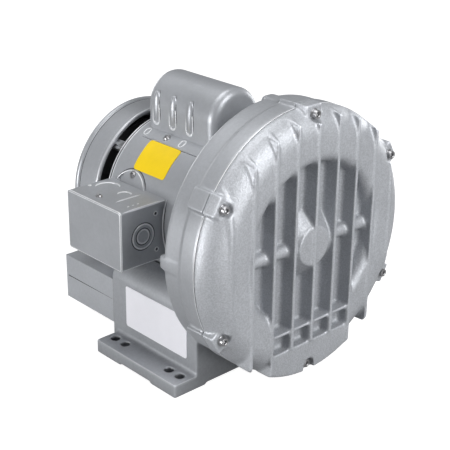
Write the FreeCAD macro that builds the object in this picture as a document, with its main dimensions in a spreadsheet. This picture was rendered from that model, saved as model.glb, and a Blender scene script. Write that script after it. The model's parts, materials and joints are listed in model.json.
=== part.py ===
# Side channel blower with a flange mounted, fan cooled single phase motor.
# Millimetres. +Z is up, -Y is the ribbed cover's side and +Y the motor's side.
# The origin lies on the underside of the feet, at the centre of the bolt holes.
import FreeCAD, Part
import math
import os
import re

import Sketcher

Vector = FreeCAD.Vector
doc = FreeCAD.newDocument("SideChannelBlower")
sheet = doc.addObject("Spreadsheet::Sheet", "Sizes")

# Driving dimensions
SIZES = [
    # Stations along the shaft
    ("shaft_height", 133, "shaft centre above the underside of the feet"),
    ("seam_y", -94.6, "where the cover meets the housing"),
    ("cover_depth", 20.4, "seam to the crest of the channel bulge"),
    ("bay_depth", 13.5, "crest to the floor of the bays between the fins"),
    ("ring_depth", 38.6, "seam to the back of the housing ring"),
    ("neck_length", 41, "back of the ring to the front edge of the motor shell"),
    ("shell_length", 94.8, "motor shell along the shaft"),
    ("fan_gap", 11.2, "air gap between the shell and the fan shroud"),
    ("shroud_length", 32.4, "fan shroud along the shaft"),
    ("fit_gap", 0.05, "clearance of pieces that are pressed or pushed together"),
    ("turn_gap", 0.4, "clearance round pieces that turn"),
    # Channel cover
    ("cover_radius", 118, "outer radius of the cover at the seam"),
    ("crest_radius", 95.5, "radius of the crest of the bulge"),
    ("bulge_radius", 23.4, "outer rounding of the bulge"),
    ("bulge_flat", 14, "flat on the crest, towards the hub"),
    ("bulge_fall", 9.5, "inner rounding of the bulge"),
    ("fin_pitch", 24, "from one fin to the next"),
    ("fin_thin", 3.2, "thickness of a fin at its front edge"),
    ("fin_thick", 5.0, "thickness of a fin at its root"),
    ("fin_proud", 0.8, "fins in front of the crest"),
    ("fin_corner", 4, "rounding of the fins' lower tips"),
    ("fin_lean", 4.5, "how far the fins' outer ends lean inwards"),
    ("ridge_proud", 1.3, "outermost fins in front of the bulge"),
    ("tip_radius", 118.8, "reach of the lower fin tips"),
    ("hub_radius", 16.8, "flat pad at the centre"),
    ("hub_round", 1.4, "rounded edge of the pad"),
    ("hub_set_back", 1.6, "front edges of the fins to the pad"),
    ("hub_foot_radius", 30, "foot of the cone under the pad"),
    ("bar_radius", 6, "cross bars between the fins"),
    ("bar_rise", 2, "floor of the bays to the axis of the bars"),
    ("shelf_drop", 71, "shaft centre down to the shelf of the stripper block"),
    ("pocket_height", 15.5, "pockets under the shelf"),
    ("pocket_depth", 9.5, "depth of those pockets"),
    ("shelf_thick", 2.8, "shelf above the pockets"),
    ("web_recess", 2.4, "recess behind the web, facing the impeller"),
    ("web_recess_radius", 68, "radius of that recess"),
    ("hub_cavity_radius", 13, "room for the end of the shaft"),
    ("hub_cavity_depth", 13.4, "depth of that room"),
    # Channel, impeller and stripper
    ("channel_radius", 91, "centre circle of the side channel"),
    ("channel_round", 16.5, "half round section of the channel"),
    ("cover_stripper", 88, "angle in which the cover has no channel"),
    ("rear_stripper", 36, "angle in which the housing has no channel"),
    ("impeller_width", 17.4, "impeller at its rim"),
    ("face_gap", 0.35, "running gap on each face of the impeller"),
    ("pocket_round", 22, "rounding of the impeller's blade pockets"),
    ("blade_angle", 2.2, "thickness of a blade as an angle"),
    ("blade_count", 30, "blades on each face"),
    ("impeller_web", 7, "web between hub and rim"),
    ("impeller_hub_radius", 16, "hub of the impeller"),
    ("impeller_hub_length", 22, "length of that hub"),
    # Housing ring and cover screws
    ("ring_radius", 118.3, "front band of the housing ring"),
    ("ring_band", 16.6, "width of that band"),
    ("ring_step", 1.0, "step down behind the band"),
    ("ring_round", 4, "rounding at the back of the ring"),
    ("screw_circle", 114, "radius on which the cover screws lie"),
    ("screw_count", 6, "cover screws"),
    ("lug_radius", 121.5, "outer face of the square screw lugs"),
    ("lug_width", 18, "width of those lugs"),
    ("lug_depth", 18.6, "lugs behind the seam"),
    ("seat_depth", 12.4, "screw seat in front of the seam"),
    ("head_pocket", 6.4, "radius of the pockets round the screw heads"),
    ("cover_screw_radius", 3, "M6 cover screws"),
    ("screw_clear", 0.3, "radial clearance of screws in their holes"),
    ("ear_radius", 5.5, "ears at the back of the ring"),
    ("ear_overhang", 4.5, "how far the ears stand behind the ring"),
    ("ear_reach", 118.2, "furthest reach of the ears from the shaft"),
    # Neck, bearings and seal
    ("neck_radius", 69, "neck of the housing, inside the motor shell"),
    ("neck_wall", 7.5, "wall of the neck"),
    ("register_length", 10, "how far the neck reaches into the shell"),
    ("back_wall", 7, "wall between impeller and motor"),
    ("impeller_bay", 7.6, "depth of the recess behind the impeller's hub"),
    ("bay_radius", 66, "radius of that recess"),
    ("hub_wall", 8, "wall round a bearing"),
    ("bearing_outer", 20, "outer radius of a bearing"),
    ("bearing_bore", 8.5, "bore radius of a bearing"),
    ("bearing_width", 12, "width of a bearing"),
    ("bearing_inset", 6, "back of the ring to the front bearing"),
    ("race_wall", 3, "thickness of a bearing ring"),
    ("ball_radius", 3.3, "bearing balls"),
    ("ball_count", 8, "balls in a bearing"),
    ("ball_gap", 0.1, "clearance of the balls in their grooves"),
    ("seal_radius", 14, "outer radius of the shaft seal"),
    # Shaft
    ("shaft_tip", 2, "shaft end to the front face of the impeller's hub"),
    ("impeller_seat", 8, "shaft radius in the impeller"),
    ("rotor_seat", 10.5, "shaft radius in the rotor"),
    ("fan_seat", 7, "shaft radius in the fan"),
    ("shaft_end_room", 9, "shaft end to the back of the shroud"),
    ("key_width", 5, "impeller key"),
    ("key_rise", 2, "key above the shaft"),
    ("key_length", 14, "length of the key"),
    ("washer_radius", 10, "washer in front of the impeller"),
    # Motor
    ("shell_radius", 70.5, "outer radius of the motor shell"),
    ("shell_wall", 1.5, "sheet of the motor shell"),
    ("stack_length", 48, "laminated stack"),
    ("stack_start", 14, "shell's front edge to the stack"),
    ("stator_bore", 38.5, "bore radius of the stator"),
    ("rotor_radius", 38, "radius of the rotor"),
    ("slot_count", 24, "stator slots"),
    ("slot_width", 4.6, "width of a stator slot"),
    ("slot_depth", 13, "depth of a stator slot"),
    ("yoke", 15, "stack outside the windings"),
    ("winding_overhang", 15, "end turns beyond the stack"),
    ("end_plate", 8, "rear end shield's plate"),
    ("bolt_circle", 65, "circle of the through bolts"),
    ("bolt_radius", 2.5, "M5 through bolts"),
    ("bolt_bite", 12, "thread of the through bolts in the neck"),
    ("arm_width", 9, "arms that carry the shroud"),
    ("arm_height", 6.5, "radial height of those arms"),
    # Fan and shroud
    ("shroud_radius", 74.9, "outer radius of the shroud"),
    ("shroud_wall", 1.4, "sheet of the shroud"),
    ("shroud_clear", 2.5, "clearance under the shroud"),
    ("shroud_lip", 70.6, "inner radius of the lip round its mouth"),
    ("shroud_round", 5, "rounding at its back"),
    ("shroud_screw_circle", 65.5, "screws at the back of the shroud"),
    ("grille_count", 20, "slots in each ring of the grille"),
    ("grille_slot", 4.4, "width of a grille slot"),
    ("fan_radius", 60.5, "outer radius of the fan"),
    ("fan_blades", 9, "blades of the fan"),
    ("fan_depth", 17, "depth of the fan's blades"),
    # Base and feet
    ("base_half", 80.1, "half width of the base"),
    ("base_length", 118, "back of the ring to the back of the base"),
    ("base_drop", 49, "shaft centre down to the top of the base"),
    ("base_round", 18, "rounding of its upper edges"),
    ("base_corner", 5, "rounding of its upright edges at the back"),
    ("motor_clear", 1.5, "gap between the base and the motor shell"),
    ("foot_half", 105, "half width over the feet"),
    ("foot_length", 111, "length of the feet"),
    ("foot_thick", 13, "thickness of the feet"),
    ("pad_relief", 1.8, "relief between the four pads"),
    ("pad_length", 34, "length of a pad"),
    ("pad_width", 36, "width of a pad"),
    ("hole_x", 90.5, "bolt holes to the shaft's plane"),
    ("hole_outer_y", 45.5, "outer bolt holes to the centre"),
    ("hole_inner_y", 31, "inner bolt holes to the centre"),
    ("hole_radius", 4.5, "bolt holes in the feet"),
    # Silencer box and ports
    ("silencer_half", 78.4, "half width of the silencer box"),
    ("silencer_length", 73.9, "length of the silencer box"),
    ("silencer_top", 63, "its top"),
    ("silencer_seam", 42, "where its two shells meet"),
    ("silencer_bottom", 18.5, "its underside"),
    ("silencer_wall", 4.5, "wall of its shells"),
    ("plate_rebate", 2, "rebate that takes the port plate"),
    ("plate_thick", 12, "port plate"),
    ("gasket_thick", 1.5, "gasket between base and silencer"),
    ("port_x", 44, "ports to the shaft's plane"),
    ("port_radius", 14.8, "tapped port holes"),
    ("duct_radius", 12, "passages from the channel"),
    ("duct_drop", 83, "shaft centre down to those passages"),
    ("tube_wall", 1, "perforated tubes"),
    ("tube_seat", 2, "shoulder in the port plate for a tube"),
    ("foam_thick", 4, "foam round the tubes"),
    ("silencer_bolt_x", 69, "silencer screws to the shaft's plane"),
    ("silencer_bolt_radius", 2.5, "M5 silencer screws"),
    # Conduit box
    ("conduit_reach", 115.7, "outer face of the conduit box"),
    ("conduit_front", 0.7, "front face of the conduit box"),
    ("conduit_length", 75.2, "length of the conduit box"),
    ("conduit_drop", 29.7, "shaft centre down to the underside of the conduit box"),
    ("conduit_height", 54.5, "height of the conduit box"),
    ("conduit_sheet", 1.5, "sheet of the conduit box"),
    ("conduit_round", 2.5, "rounded edges of the conduit box"),
    ("lid_thick", 2, "cover plate of the conduit box"),
    ("tab_radius", 22, "fixing tabs on the motor shell"),
    ("tab_y", 48.5, "centre of those tabs"),
    ("tab_spread", 17.4, "middle of the conduit box to the centre of a tab"),
    ("tab_screw", 36, "middle of the conduit box to the screw in a tab"),
    ("slot_radius", 2.2, "half width of the adjusting slots in tabs and flanges"),
    ("knockout_radius", 11.1, "conduit knockout"),
    ("knockout_y_rise", 27, "underside of the box to the knockout"),
    ("knockout_x", 91.5, "knockout to the shaft's plane"),
    # Capacitor cover
    ("can_half", 28, "half width of the capacitor cover"),
    ("can_front", -18, "front of the capacitor cover"),
    ("can_length", 90, "length of the capacitor cover"),
    ("can_rise", 44.5, "top of the capacitor cover above the motor shell"),
    ("can_round", 8, "rounding of its ends"),
    ("can_sheet", 1.2, "sheet of the capacitor cover"),
    ("flange_width", 10, "flanges on the motor shell"),
    ("rib_width", 9.6, "lens-shaped upright ribs in its sides"),
    ("rib_height", 30, "length of those ribs"),
    ("rib_rise", 2, "how far they stand out"),
    ("rib_sink", 2, "their middle plane inside the sides"),
    ("rib_drop", 28.5, "top of the capacitor cover down to the ribs' middle"),
    ("capacitor_radius", 20, "run capacitor"),
    ("capacitor_length", 68, "length of the run capacitor"),
    ("capacitor_gap", 2, "run capacitor to the motor shell"),
    ("thin_screw", 1.6, "sheet metal screws"),
    # Plates
    ("plate_sheet", 0.4, "thickness of the blank plates"),
    ("plate_length", 84.5, "length of the blank plate on the base"),
    ("plate_height", 40.5, "height of that plate"),
    ("plate_corner", 2.5, "its rounded corners"),
    ("plate_rise", 11.5, "top of the feet to that plate"),
    ("plate_inset", 20.5, "that plate to the back of the base"),
    ("sticker_low", 58, "lower edge of the sticker, as an angle from straight up"),
    ("sticker_high", 32.8, "upper edge of the sticker"),
    ("sticker_start", 26, "shell's front edge to the sticker"),
    ("sticker_length", 42, "length of the sticker along the shell"),
]

ALIASES = {}
for row, (alias, amount, meaning) in enumerate(SIZES, start=1):
    sheet.set(f"A{row}", meaning)
    sheet.set(f"B{row}", str(amount))
    sheet.setAlias(f"B{row}", alias)
    ALIASES[alias] = f"Sizes.{alias}"
doc.recompute()

# Places that several pieces share, as formulas of the sizes
CREST = "(seam_y - cover_depth)"
FLOOR = "(seam_y - cover_depth + bay_depth)"
FIN_FRONT = "(seam_y - cover_depth - fin_proud)"
IMPELLER_FRONT = "(seam_y + face_gap)"
IMPELLER_BACK = "(seam_y + face_gap + impeller_width)"
CHAMBER_BACK = "(seam_y + 2 * face_gap + impeller_width)"
HUB_BAY_BACK = "(seam_y + 2 * face_gap + impeller_width + impeller_bay)"
WALL_BACK = "(seam_y + 2 * face_gap + impeller_width + impeller_bay + back_wall)"
RING_REAR = "(seam_y + ring_depth)"
FRONT_BEARING = "(seam_y + ring_depth + bearing_inset)"
SHELL_FRONT = "(seam_y + ring_depth + neck_length)"
SHELL_REAR = "(seam_y + ring_depth + neck_length + shell_length)"
REAR_BEARING = "(seam_y + ring_depth + neck_length + shell_length - end_plate)"
PLATE_BACK = "(seam_y + ring_depth + neck_length + shell_length)"
SHROUD_FRONT = "(seam_y + ring_depth + neck_length + shell_length + fan_gap)"
SHROUD_BACK = "(seam_y + ring_depth + neck_length + shell_length + fan_gap + shroud_length)"
STACK_FRONT = "(seam_y + ring_depth + neck_length + stack_start)"
BASE_REAR = "(seam_y + ring_depth + base_length)"
BOX_FRONT = "(seam_y + ring_depth + base_length + gasket_thick)"
BOX_REAR = "(seam_y + ring_depth + base_length + gasket_thick + silencer_length)"
TIP_Y = "(seam_y + face_gap + shaft_tip)"
SHELL_INNER = "(shell_radius - shell_wall)"
LID_BACK = "(conduit_reach - lid_thick)"
CAN_TOP = "(shaft_height + shell_radius + can_rise)"
BOX_LOW = "(shaft_height - conduit_drop)"
BASE_TOP = "(shaft_height - base_drop)"
DUCT_Z = "(shaft_height - duct_drop)"


def bound(text):
    """The formula with each size's name pointing into the sheet."""
    return re.sub(r"[a-z_]{3,}", lambda word: ALIASES.get(word.group(0), word.group(0)), text)


def amount_of(text):
    """What the formula comes to now."""
    return float(sheet.evalExpression(bound(text)))


def bind(thing, **formulas):
    """Ties properties of an object to formulas; a place is given as x, y and z."""
    for key, text in formulas.items():
        path = {"x": "Placement.Base.x", "y": "Placement.Base.y", "z": "Placement.Base.z"}.get(key, key)
        thing.setExpression(path, bound(text))
    return thing


def box(name, x, y, z, across, along, up):
    """A box from its lowest corner and its three lengths."""
    made = doc.addObject("Part::Box", name)
    return bind(made, Length=across, Width=along, Height=up, x=x, y=y, z=z)


LIE = {
    "x": FreeCAD.Rotation(Vector(0, 1, 0), 90),
    "y": FreeCAD.Rotation(Vector(1, 0, 0), -90),
    "z": FreeCAD.Rotation(),
}


def rod(name, radius, length, x="0", y="0", z="shaft_height", lie="y"):
    """A cylinder that starts at a point and runs along an axis."""
    made = doc.addObject("Part::Cylinder", name)
    made.Placement = FreeCAD.Placement(Vector(), LIE[lie])
    return bind(made, Radius=radius, Height=length, x=x, y=y, z=z)


def cut(name, base, *tools):
    """The base less one tool or several."""
    made = doc.addObject("Part::Cut", name)
    made.Base = base
    made.Tool = tools[0] if len(tools) == 1 else fuse(name + "_tools", *tools)
    return made


def fuse(name, *shapes):
    made = doc.addObject("Part::MultiFuse", name)
    made.Shapes = list(shapes)
    return made


def common(name, *shapes):
    made = doc.addObject("Part::MultiCommon", name)
    made.Shapes = list(shapes)
    return made


def sketch_in(body, plane):
    """A sketch on one of the body's own origin planes."""
    sketch = body.newObject("Sketcher::SketchObject", body.Name + "_sketch")
    face = [feature for feature in body.Origin.OriginFeatures if feature.Role == plane][0]
    sketch.AttachmentSupport = [(face, "")]
    sketch.MapMode = "FlatFace"
    return sketch


def tie(sketch, kind, where, text):
    """Adds a dimension to a sketch and ties it to a formula."""
    index = sketch.addConstraint(Sketcher.Constraint(kind, *where, amount_of(text)))
    sketch.setExpression(f"Constraints[{index}]", bound(text))


def arc_between(start, end, radius, turn):
    """An arc of a circle from start to end; turn is 1 for leftwards and -1 for rightwards."""
    chord = end - start
    rise = math.sqrt(max(radius**2 - (chord.Length / 2) ** 2, 0))
    side = Vector(-chord.y, chord.x, 0).normalize() * rise * turn
    centre = (start + end) / 2 + side
    angles = [math.atan2(point.y - centre.y, point.x - centre.x) for point in (start, end)]
    first, last = angles if turn > 0 else reversed(angles)
    return Part.ArcOfCircle(Part.Circle(centre, Vector(0, 0, 1), radius), first, last)


def outline(sketch, corners):
    """Closes a sketch through its corners; a corner with a radius and a turn starts an arc."""
    points = [Vector(amount_of(corner[0]), amount_of(corner[1]), 0) for corner in corners]
    edges = []
    for index, corner in enumerate(corners):
        start, end = points[index], points[(index + 1) % len(points)]
        if len(corner) == 4:
            shape = arc_between(start, end, amount_of(corner[2]), corner[3])
            ends = (1, 2) if corner[3] > 0 else (2, 1)
        else:
            shape = Part.LineSegment(start, end)
            ends = (1, 2)
        edges.append((sketch.addGeometry(shape, False), ends))
    for index, corner in enumerate(corners):
        edge, (first, last) = edges[index]
        after, (after_first, _) = edges[(index + 1) % len(edges)]
        sketch.addConstraint(Sketcher.Constraint("Coincident", edge, last, after, after_first))
        tie(sketch, "DistanceX", (edge, first), corner[0])
        tie(sketch, "DistanceY", (edge, first), corner[1])
        if len(corner) == 4:
            chord = points[(index + 1) % len(points)] - points[index]
            if abs(chord.Length / 2 - amount_of(corner[2])) > 0.001:
                tie(sketch, "Radius", (edge,), corner[2])
            elif abs(chord.x) > abs(chord.y):
                tie(sketch, "DistanceY", (edge, 3), corner[1])
            else:
                tie(sketch, "DistanceX", (edge, 3), corner[0])


def turned(name, corners, angle=None, quarter=0):
    """A profile of (radius, place along the shaft) turned about the shaft."""
    body = doc.addObject("PartDesign::Body", name)
    sketch = sketch_in(body, "XY_Plane")
    outline(sketch, corners)
    turn = body.newObject("PartDesign::Revolution", name + "_turn")
    turn.Profile = sketch
    turn.ReferenceAxis = (sketch, ["V_Axis"])
    turn.Midplane = True
    if angle:
        bind(turn, Angle=angle)
    body.Placement = FreeCAD.Placement(Vector(), FreeCAD.Rotation(Vector(0, 1, 0), quarter * 90))
    return bind(body, z="shaft_height")


def ring(name, outer, inner, start, length):
    """A plain ring on the shaft's axis."""
    end = f"{start} + {length}"
    return turned(name, [(inner, start), (outer, start), (outer, end), (inner, end)])


def prism(name, plane, corners, length, **place):
    """A profile pushed straight out of its plane."""
    body = doc.addObject("PartDesign::Body", name)
    sketch = sketch_in(body, plane)
    outline(sketch, corners)
    pad = body.newObject("PartDesign::Pad", name + "_pad")
    pad.Profile = sketch
    bind(pad, Length=length)
    return bind(body, **place)


def spread(name, draw, start, length, count, angle=0):
    """Copies of one profile round the shaft, each pushed backwards from start along the shaft."""
    body = doc.addObject("PartDesign::Body", name)
    sketch = sketch_in(body, "XZ_Plane")
    draw(sketch)
    pad = body.newObject("PartDesign::Pad", name + "_pad")
    pad.Profile = sketch
    pad.Reversed = True
    bind(pad, Length=length)
    pattern = body.newObject("PartDesign::PolarPattern", name + "_pattern")
    pattern.Originals = [pad]
    pattern.Axis = (sketch, ["N_Axis"])
    pattern.Angle = 360
    bind(pattern, Occurrences=count)
    body.Tip = pattern
    body.Placement = FreeCAD.Placement(Vector(), FreeCAD.Rotation(Vector(0, 1, 0), angle))
    return bind(body, y=start, z="shaft_height")


def circle_at(radius, reach):
    """Draws a circle straight above the shaft."""

    def draw(sketch):
        centre = Vector(0, amount_of(reach), 0)
        edge = sketch.addGeometry(Part.Circle(centre, Vector(0, 0, 1), amount_of(radius)), False)
        sketch.addConstraint(Sketcher.Constraint("PointOnObject", edge, 3, -2))
        tie(sketch, "DistanceY", (edge, 3), reach)
        tie(sketch, "Radius", (edge,), radius)

    return draw


def hexagon_at(radius, reach):
    """Draws a hexagon straight above the shaft; the radius is to its corners."""
    corners = [(f"{radius} * cos({60 * k})", f"{reach} + {radius} * sin({60 * k})") for k in range(6)]
    return lambda sketch: outline(sketch, corners)


def block_at(width, low, high):
    """Draws a rectangle straight above the shaft."""
    half = f"({width}) / 2"
    corners = [(f"-{half}", low), (half, low), (half, high), (f"-{half}", high)]
    return lambda sketch: outline(sketch, corners)


def slot_at(width, low, high):
    """Draws a slot with round ends straight above the shaft."""
    half = f"({width}) / 2"
    corners = [(half, low), (half, high, half, 1), (f"-{half}", high), (f"-{half}", low, half, 1)]
    return lambda sketch: outline(sketch, corners)


def socket_screws(name, radius, reach, head_face, grip, count, angle=0):
    """Socket head cap screws round the shaft; their heads stand in front of head_face."""
    head = spread(name + "_heads", circle_at(f"({radius}) / 0.6", reach), f"{head_face} - 2 * {radius}",
                  f"2 * {radius}", count, angle)
    shank = spread(name + "_shanks", circle_at(radius, reach), head_face, grip, count, angle)
    socket = spread(name + "_sockets", hexagon_at(f"({radius}) * 0.95", reach),
                    f"{head_face} - 2 * {radius} - 1", f"{radius} * 1.1 + 1", count, angle)
    return cut(name, fuse(name + "_bodies", head, shank), socket)


def name_as(thing, label):
    """Gives the finished sub-part its label and lists it."""
    thing.Label = label
    PARTS.append(thing)
    return thing


PARTS = []


# Channel cover: a turned shell with fins, hub cone, cross bars, stripper block and screw lugs
def channel_cover():
    hub_front = f"({FIN_FRONT} + hub_set_back)"
    rounding_y = f"({CREST} + bulge_radius)"
    fall_y = f"({CREST} + bulge_fall)"
    fall_x = "(crest_radius - bulge_flat)"
    blank = turned("cover_blank", [
        ("0", "seam_y"),
        ("0", hub_front),
        ("hub_radius", hub_front, "hub_round", 1),
        ("hub_radius + hub_round", f"{hub_front} + hub_round"),
        ("hub_foot_radius", FLOOR),
        (f"{fall_x} - bulge_fall - 1", FLOOR),
        (f"{fall_x} - bulge_fall", fall_y, "bulge_fall", 1),
        (fall_x, CREST),
        ("crest_radius", CREST, "bulge_radius", 1),
        ("cover_radius", f"{rounding_y} - sqrt(bulge_radius^2 - (cover_radius - crest_radius)^2)"),
        ("cover_radius", "seam_y"),
    ])
    # Between the second fins from the centre and the rim, the bulge gives way to the stripper block
    block_half = "(2 * fin_pitch)"
    sector_top = f"(shaft_height - sqrt(({fall_x} - bulge_fall)^2 - {block_half}^2))"
    window = box("cover_window", f"-{block_half}", f"{FLOOR} - 2 * bay_depth", "0",
                 f"2 * {block_half}", "2 * bay_depth", f"{sector_top} + 2")
    body = cut("cover_opened", blank, window)
    shelf_top = "(shaft_height - shelf_drop)"
    block = box("cover_block", f"-{block_half}", f"{CREST} + fin_proud", "0",
                f"2 * {block_half}", f"{FLOOR} - {CREST}", shelf_top)
    pockets = []
    for bay in range(-2, 2):
        blind = box(f"cover_pocket_{bay + 3}", f"{bay} * fin_pitch + fin_thick / 2",
                    f"{CREST} + fin_proud - 5",
                    f"{shelf_top} - shelf_thick - pocket_height", "fin_pitch - fin_thick",
                    "pocket_depth + 5", "pocket_height")
        pockets.append(blind)
    stripper = cut("cover_stripper_block", block, *pockets)
    # The fins end on a cone above, and on a wider rounded skirt at the four lower tips
    cone = turned("fin_cone", [
        ("0", "seam_y"),
        ("0", FIN_FRONT),
        ("cover_radius - fin_lean - 1.5", FIN_FRONT, "2", 1),
        ("cover_radius - fin_lean", f"{FIN_FRONT} + 2"),
        ("cover_radius - 0.3", f"{FLOOR} + 3"),
        ("cover_radius - 0.3", "seam_y"),
    ])
    skirt_all = turned("fin_skirt_round", [
        ("0", f"{FLOOR} + 3"),
        ("0", FIN_FRONT),
        ("tip_radius - fin_corner", FIN_FRONT, "fin_corner", 1),
        ("tip_radius", f"{FIN_FRONT} + fin_corner"),
        ("tip_radius", f"{FLOOR} + 3"),
    ])
    below = box("fin_skirt_below", "-4 * fin_pitch + fin_thick", f"{FIN_FRONT} - 5", "0",
                "8 * fin_pitch - 2 * fin_thick", "bay_depth + 20", "shaft_height - cover_radius * 0.72")
    skirt = common("fin_skirt", skirt_all, below)
    limits = fuse("fin_limits", cone, skirt)
    ridge_y = f"({CREST} - ridge_proud)"
    ridge_radius = "(bulge_radius + ridge_proud)"
    ridge_limit = turned("ridge_limit", [
        ("0", "seam_y"),
        ("0", ridge_y),
        ("crest_radius", ridge_y, ridge_radius, 1),
        ("cover_radius", f"{rounding_y} - sqrt({ridge_radius}^2 - (cover_radius - crest_radius)^2)"),
        ("cover_radius", "seam_y"),
    ])
    fins = []
    for place in range(-4, 5):
        fin = doc.addObject("Part::Wedge", f"fin_{place + 5}")
        foot = f"{shelf_top} - shelf_thick - pocket_height" if abs(place) < 2 else "0"
        bind(fin, Xmin="-fin_thin / 2", Xmax="fin_thin / 2", X2min="-fin_thick / 2", X2max="fin_thick / 2",
             Ymin=FIN_FRONT, Ymax=f"{FLOOR} + 2", Zmin=foot, Z2min=foot,
             Zmax="shaft_height + cover_radius", Z2max="shaft_height + cover_radius",
             x=f"{place} * fin_pitch")
        fins.append(fin)
    bars = [rod(f"bar_{side + 2}", "bar_radius", "2 * fin_pitch", f"{side} * 2 * fin_pitch - fin_pitch",
                f"{FLOOR} - bar_rise", lie="x") for side in (-1, 1)]
    ribs = common("cover_ribs", fuse("cover_fins", stripper, *fins[1:-1]), limits)
    ridges = common("cover_ridges", fuse("cover_outer_fins", fins[0], fins[-1]), ridge_limit)
    lugs = spread("cover_lugs", block_at("lug_width", "screw_circle - 8", "lug_radius"),
                  "seam_y - seat_depth", "seat_depth", "screw_count")
    heads = spread("cover_head_pockets", slot_at("2 * head_pocket", "screw_circle", "screw_circle + 16"),
                   "seam_y - seat_depth - 25", "25", "screw_count")
    holes = spread("cover_screw_holes", circle_at("cover_screw_radius + screw_clear", "screw_circle"),
                   "seam_y - seat_depth - 1", "seat_depth + 2", "screw_count")
    recess = rod("cover_recess", "web_recess_radius", "web_recess + 1", y="seam_y - web_recess")
    cavity = rod("cover_cavity", "hub_cavity_radius", "hub_cavity_depth + 1", y="seam_y - hub_cavity_depth")
    channel = turned("cover_channel", [
        ("channel_radius - channel_round", "seam_y + 1"),
        ("channel_radius - channel_round", "seam_y", "channel_round", 1),
        ("channel_radius + channel_round", "seam_y"),
        ("channel_radius + channel_round", "seam_y + 1"),
    ], angle="360 - cover_stripper", quarter=-1)
    solid = fuse("cover_solid", body, ribs, ridges, lugs, *bars)
    return name_as(cut("channel_cover", solid, heads, holes, recess, cavity, channel), "channel_cover")


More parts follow.
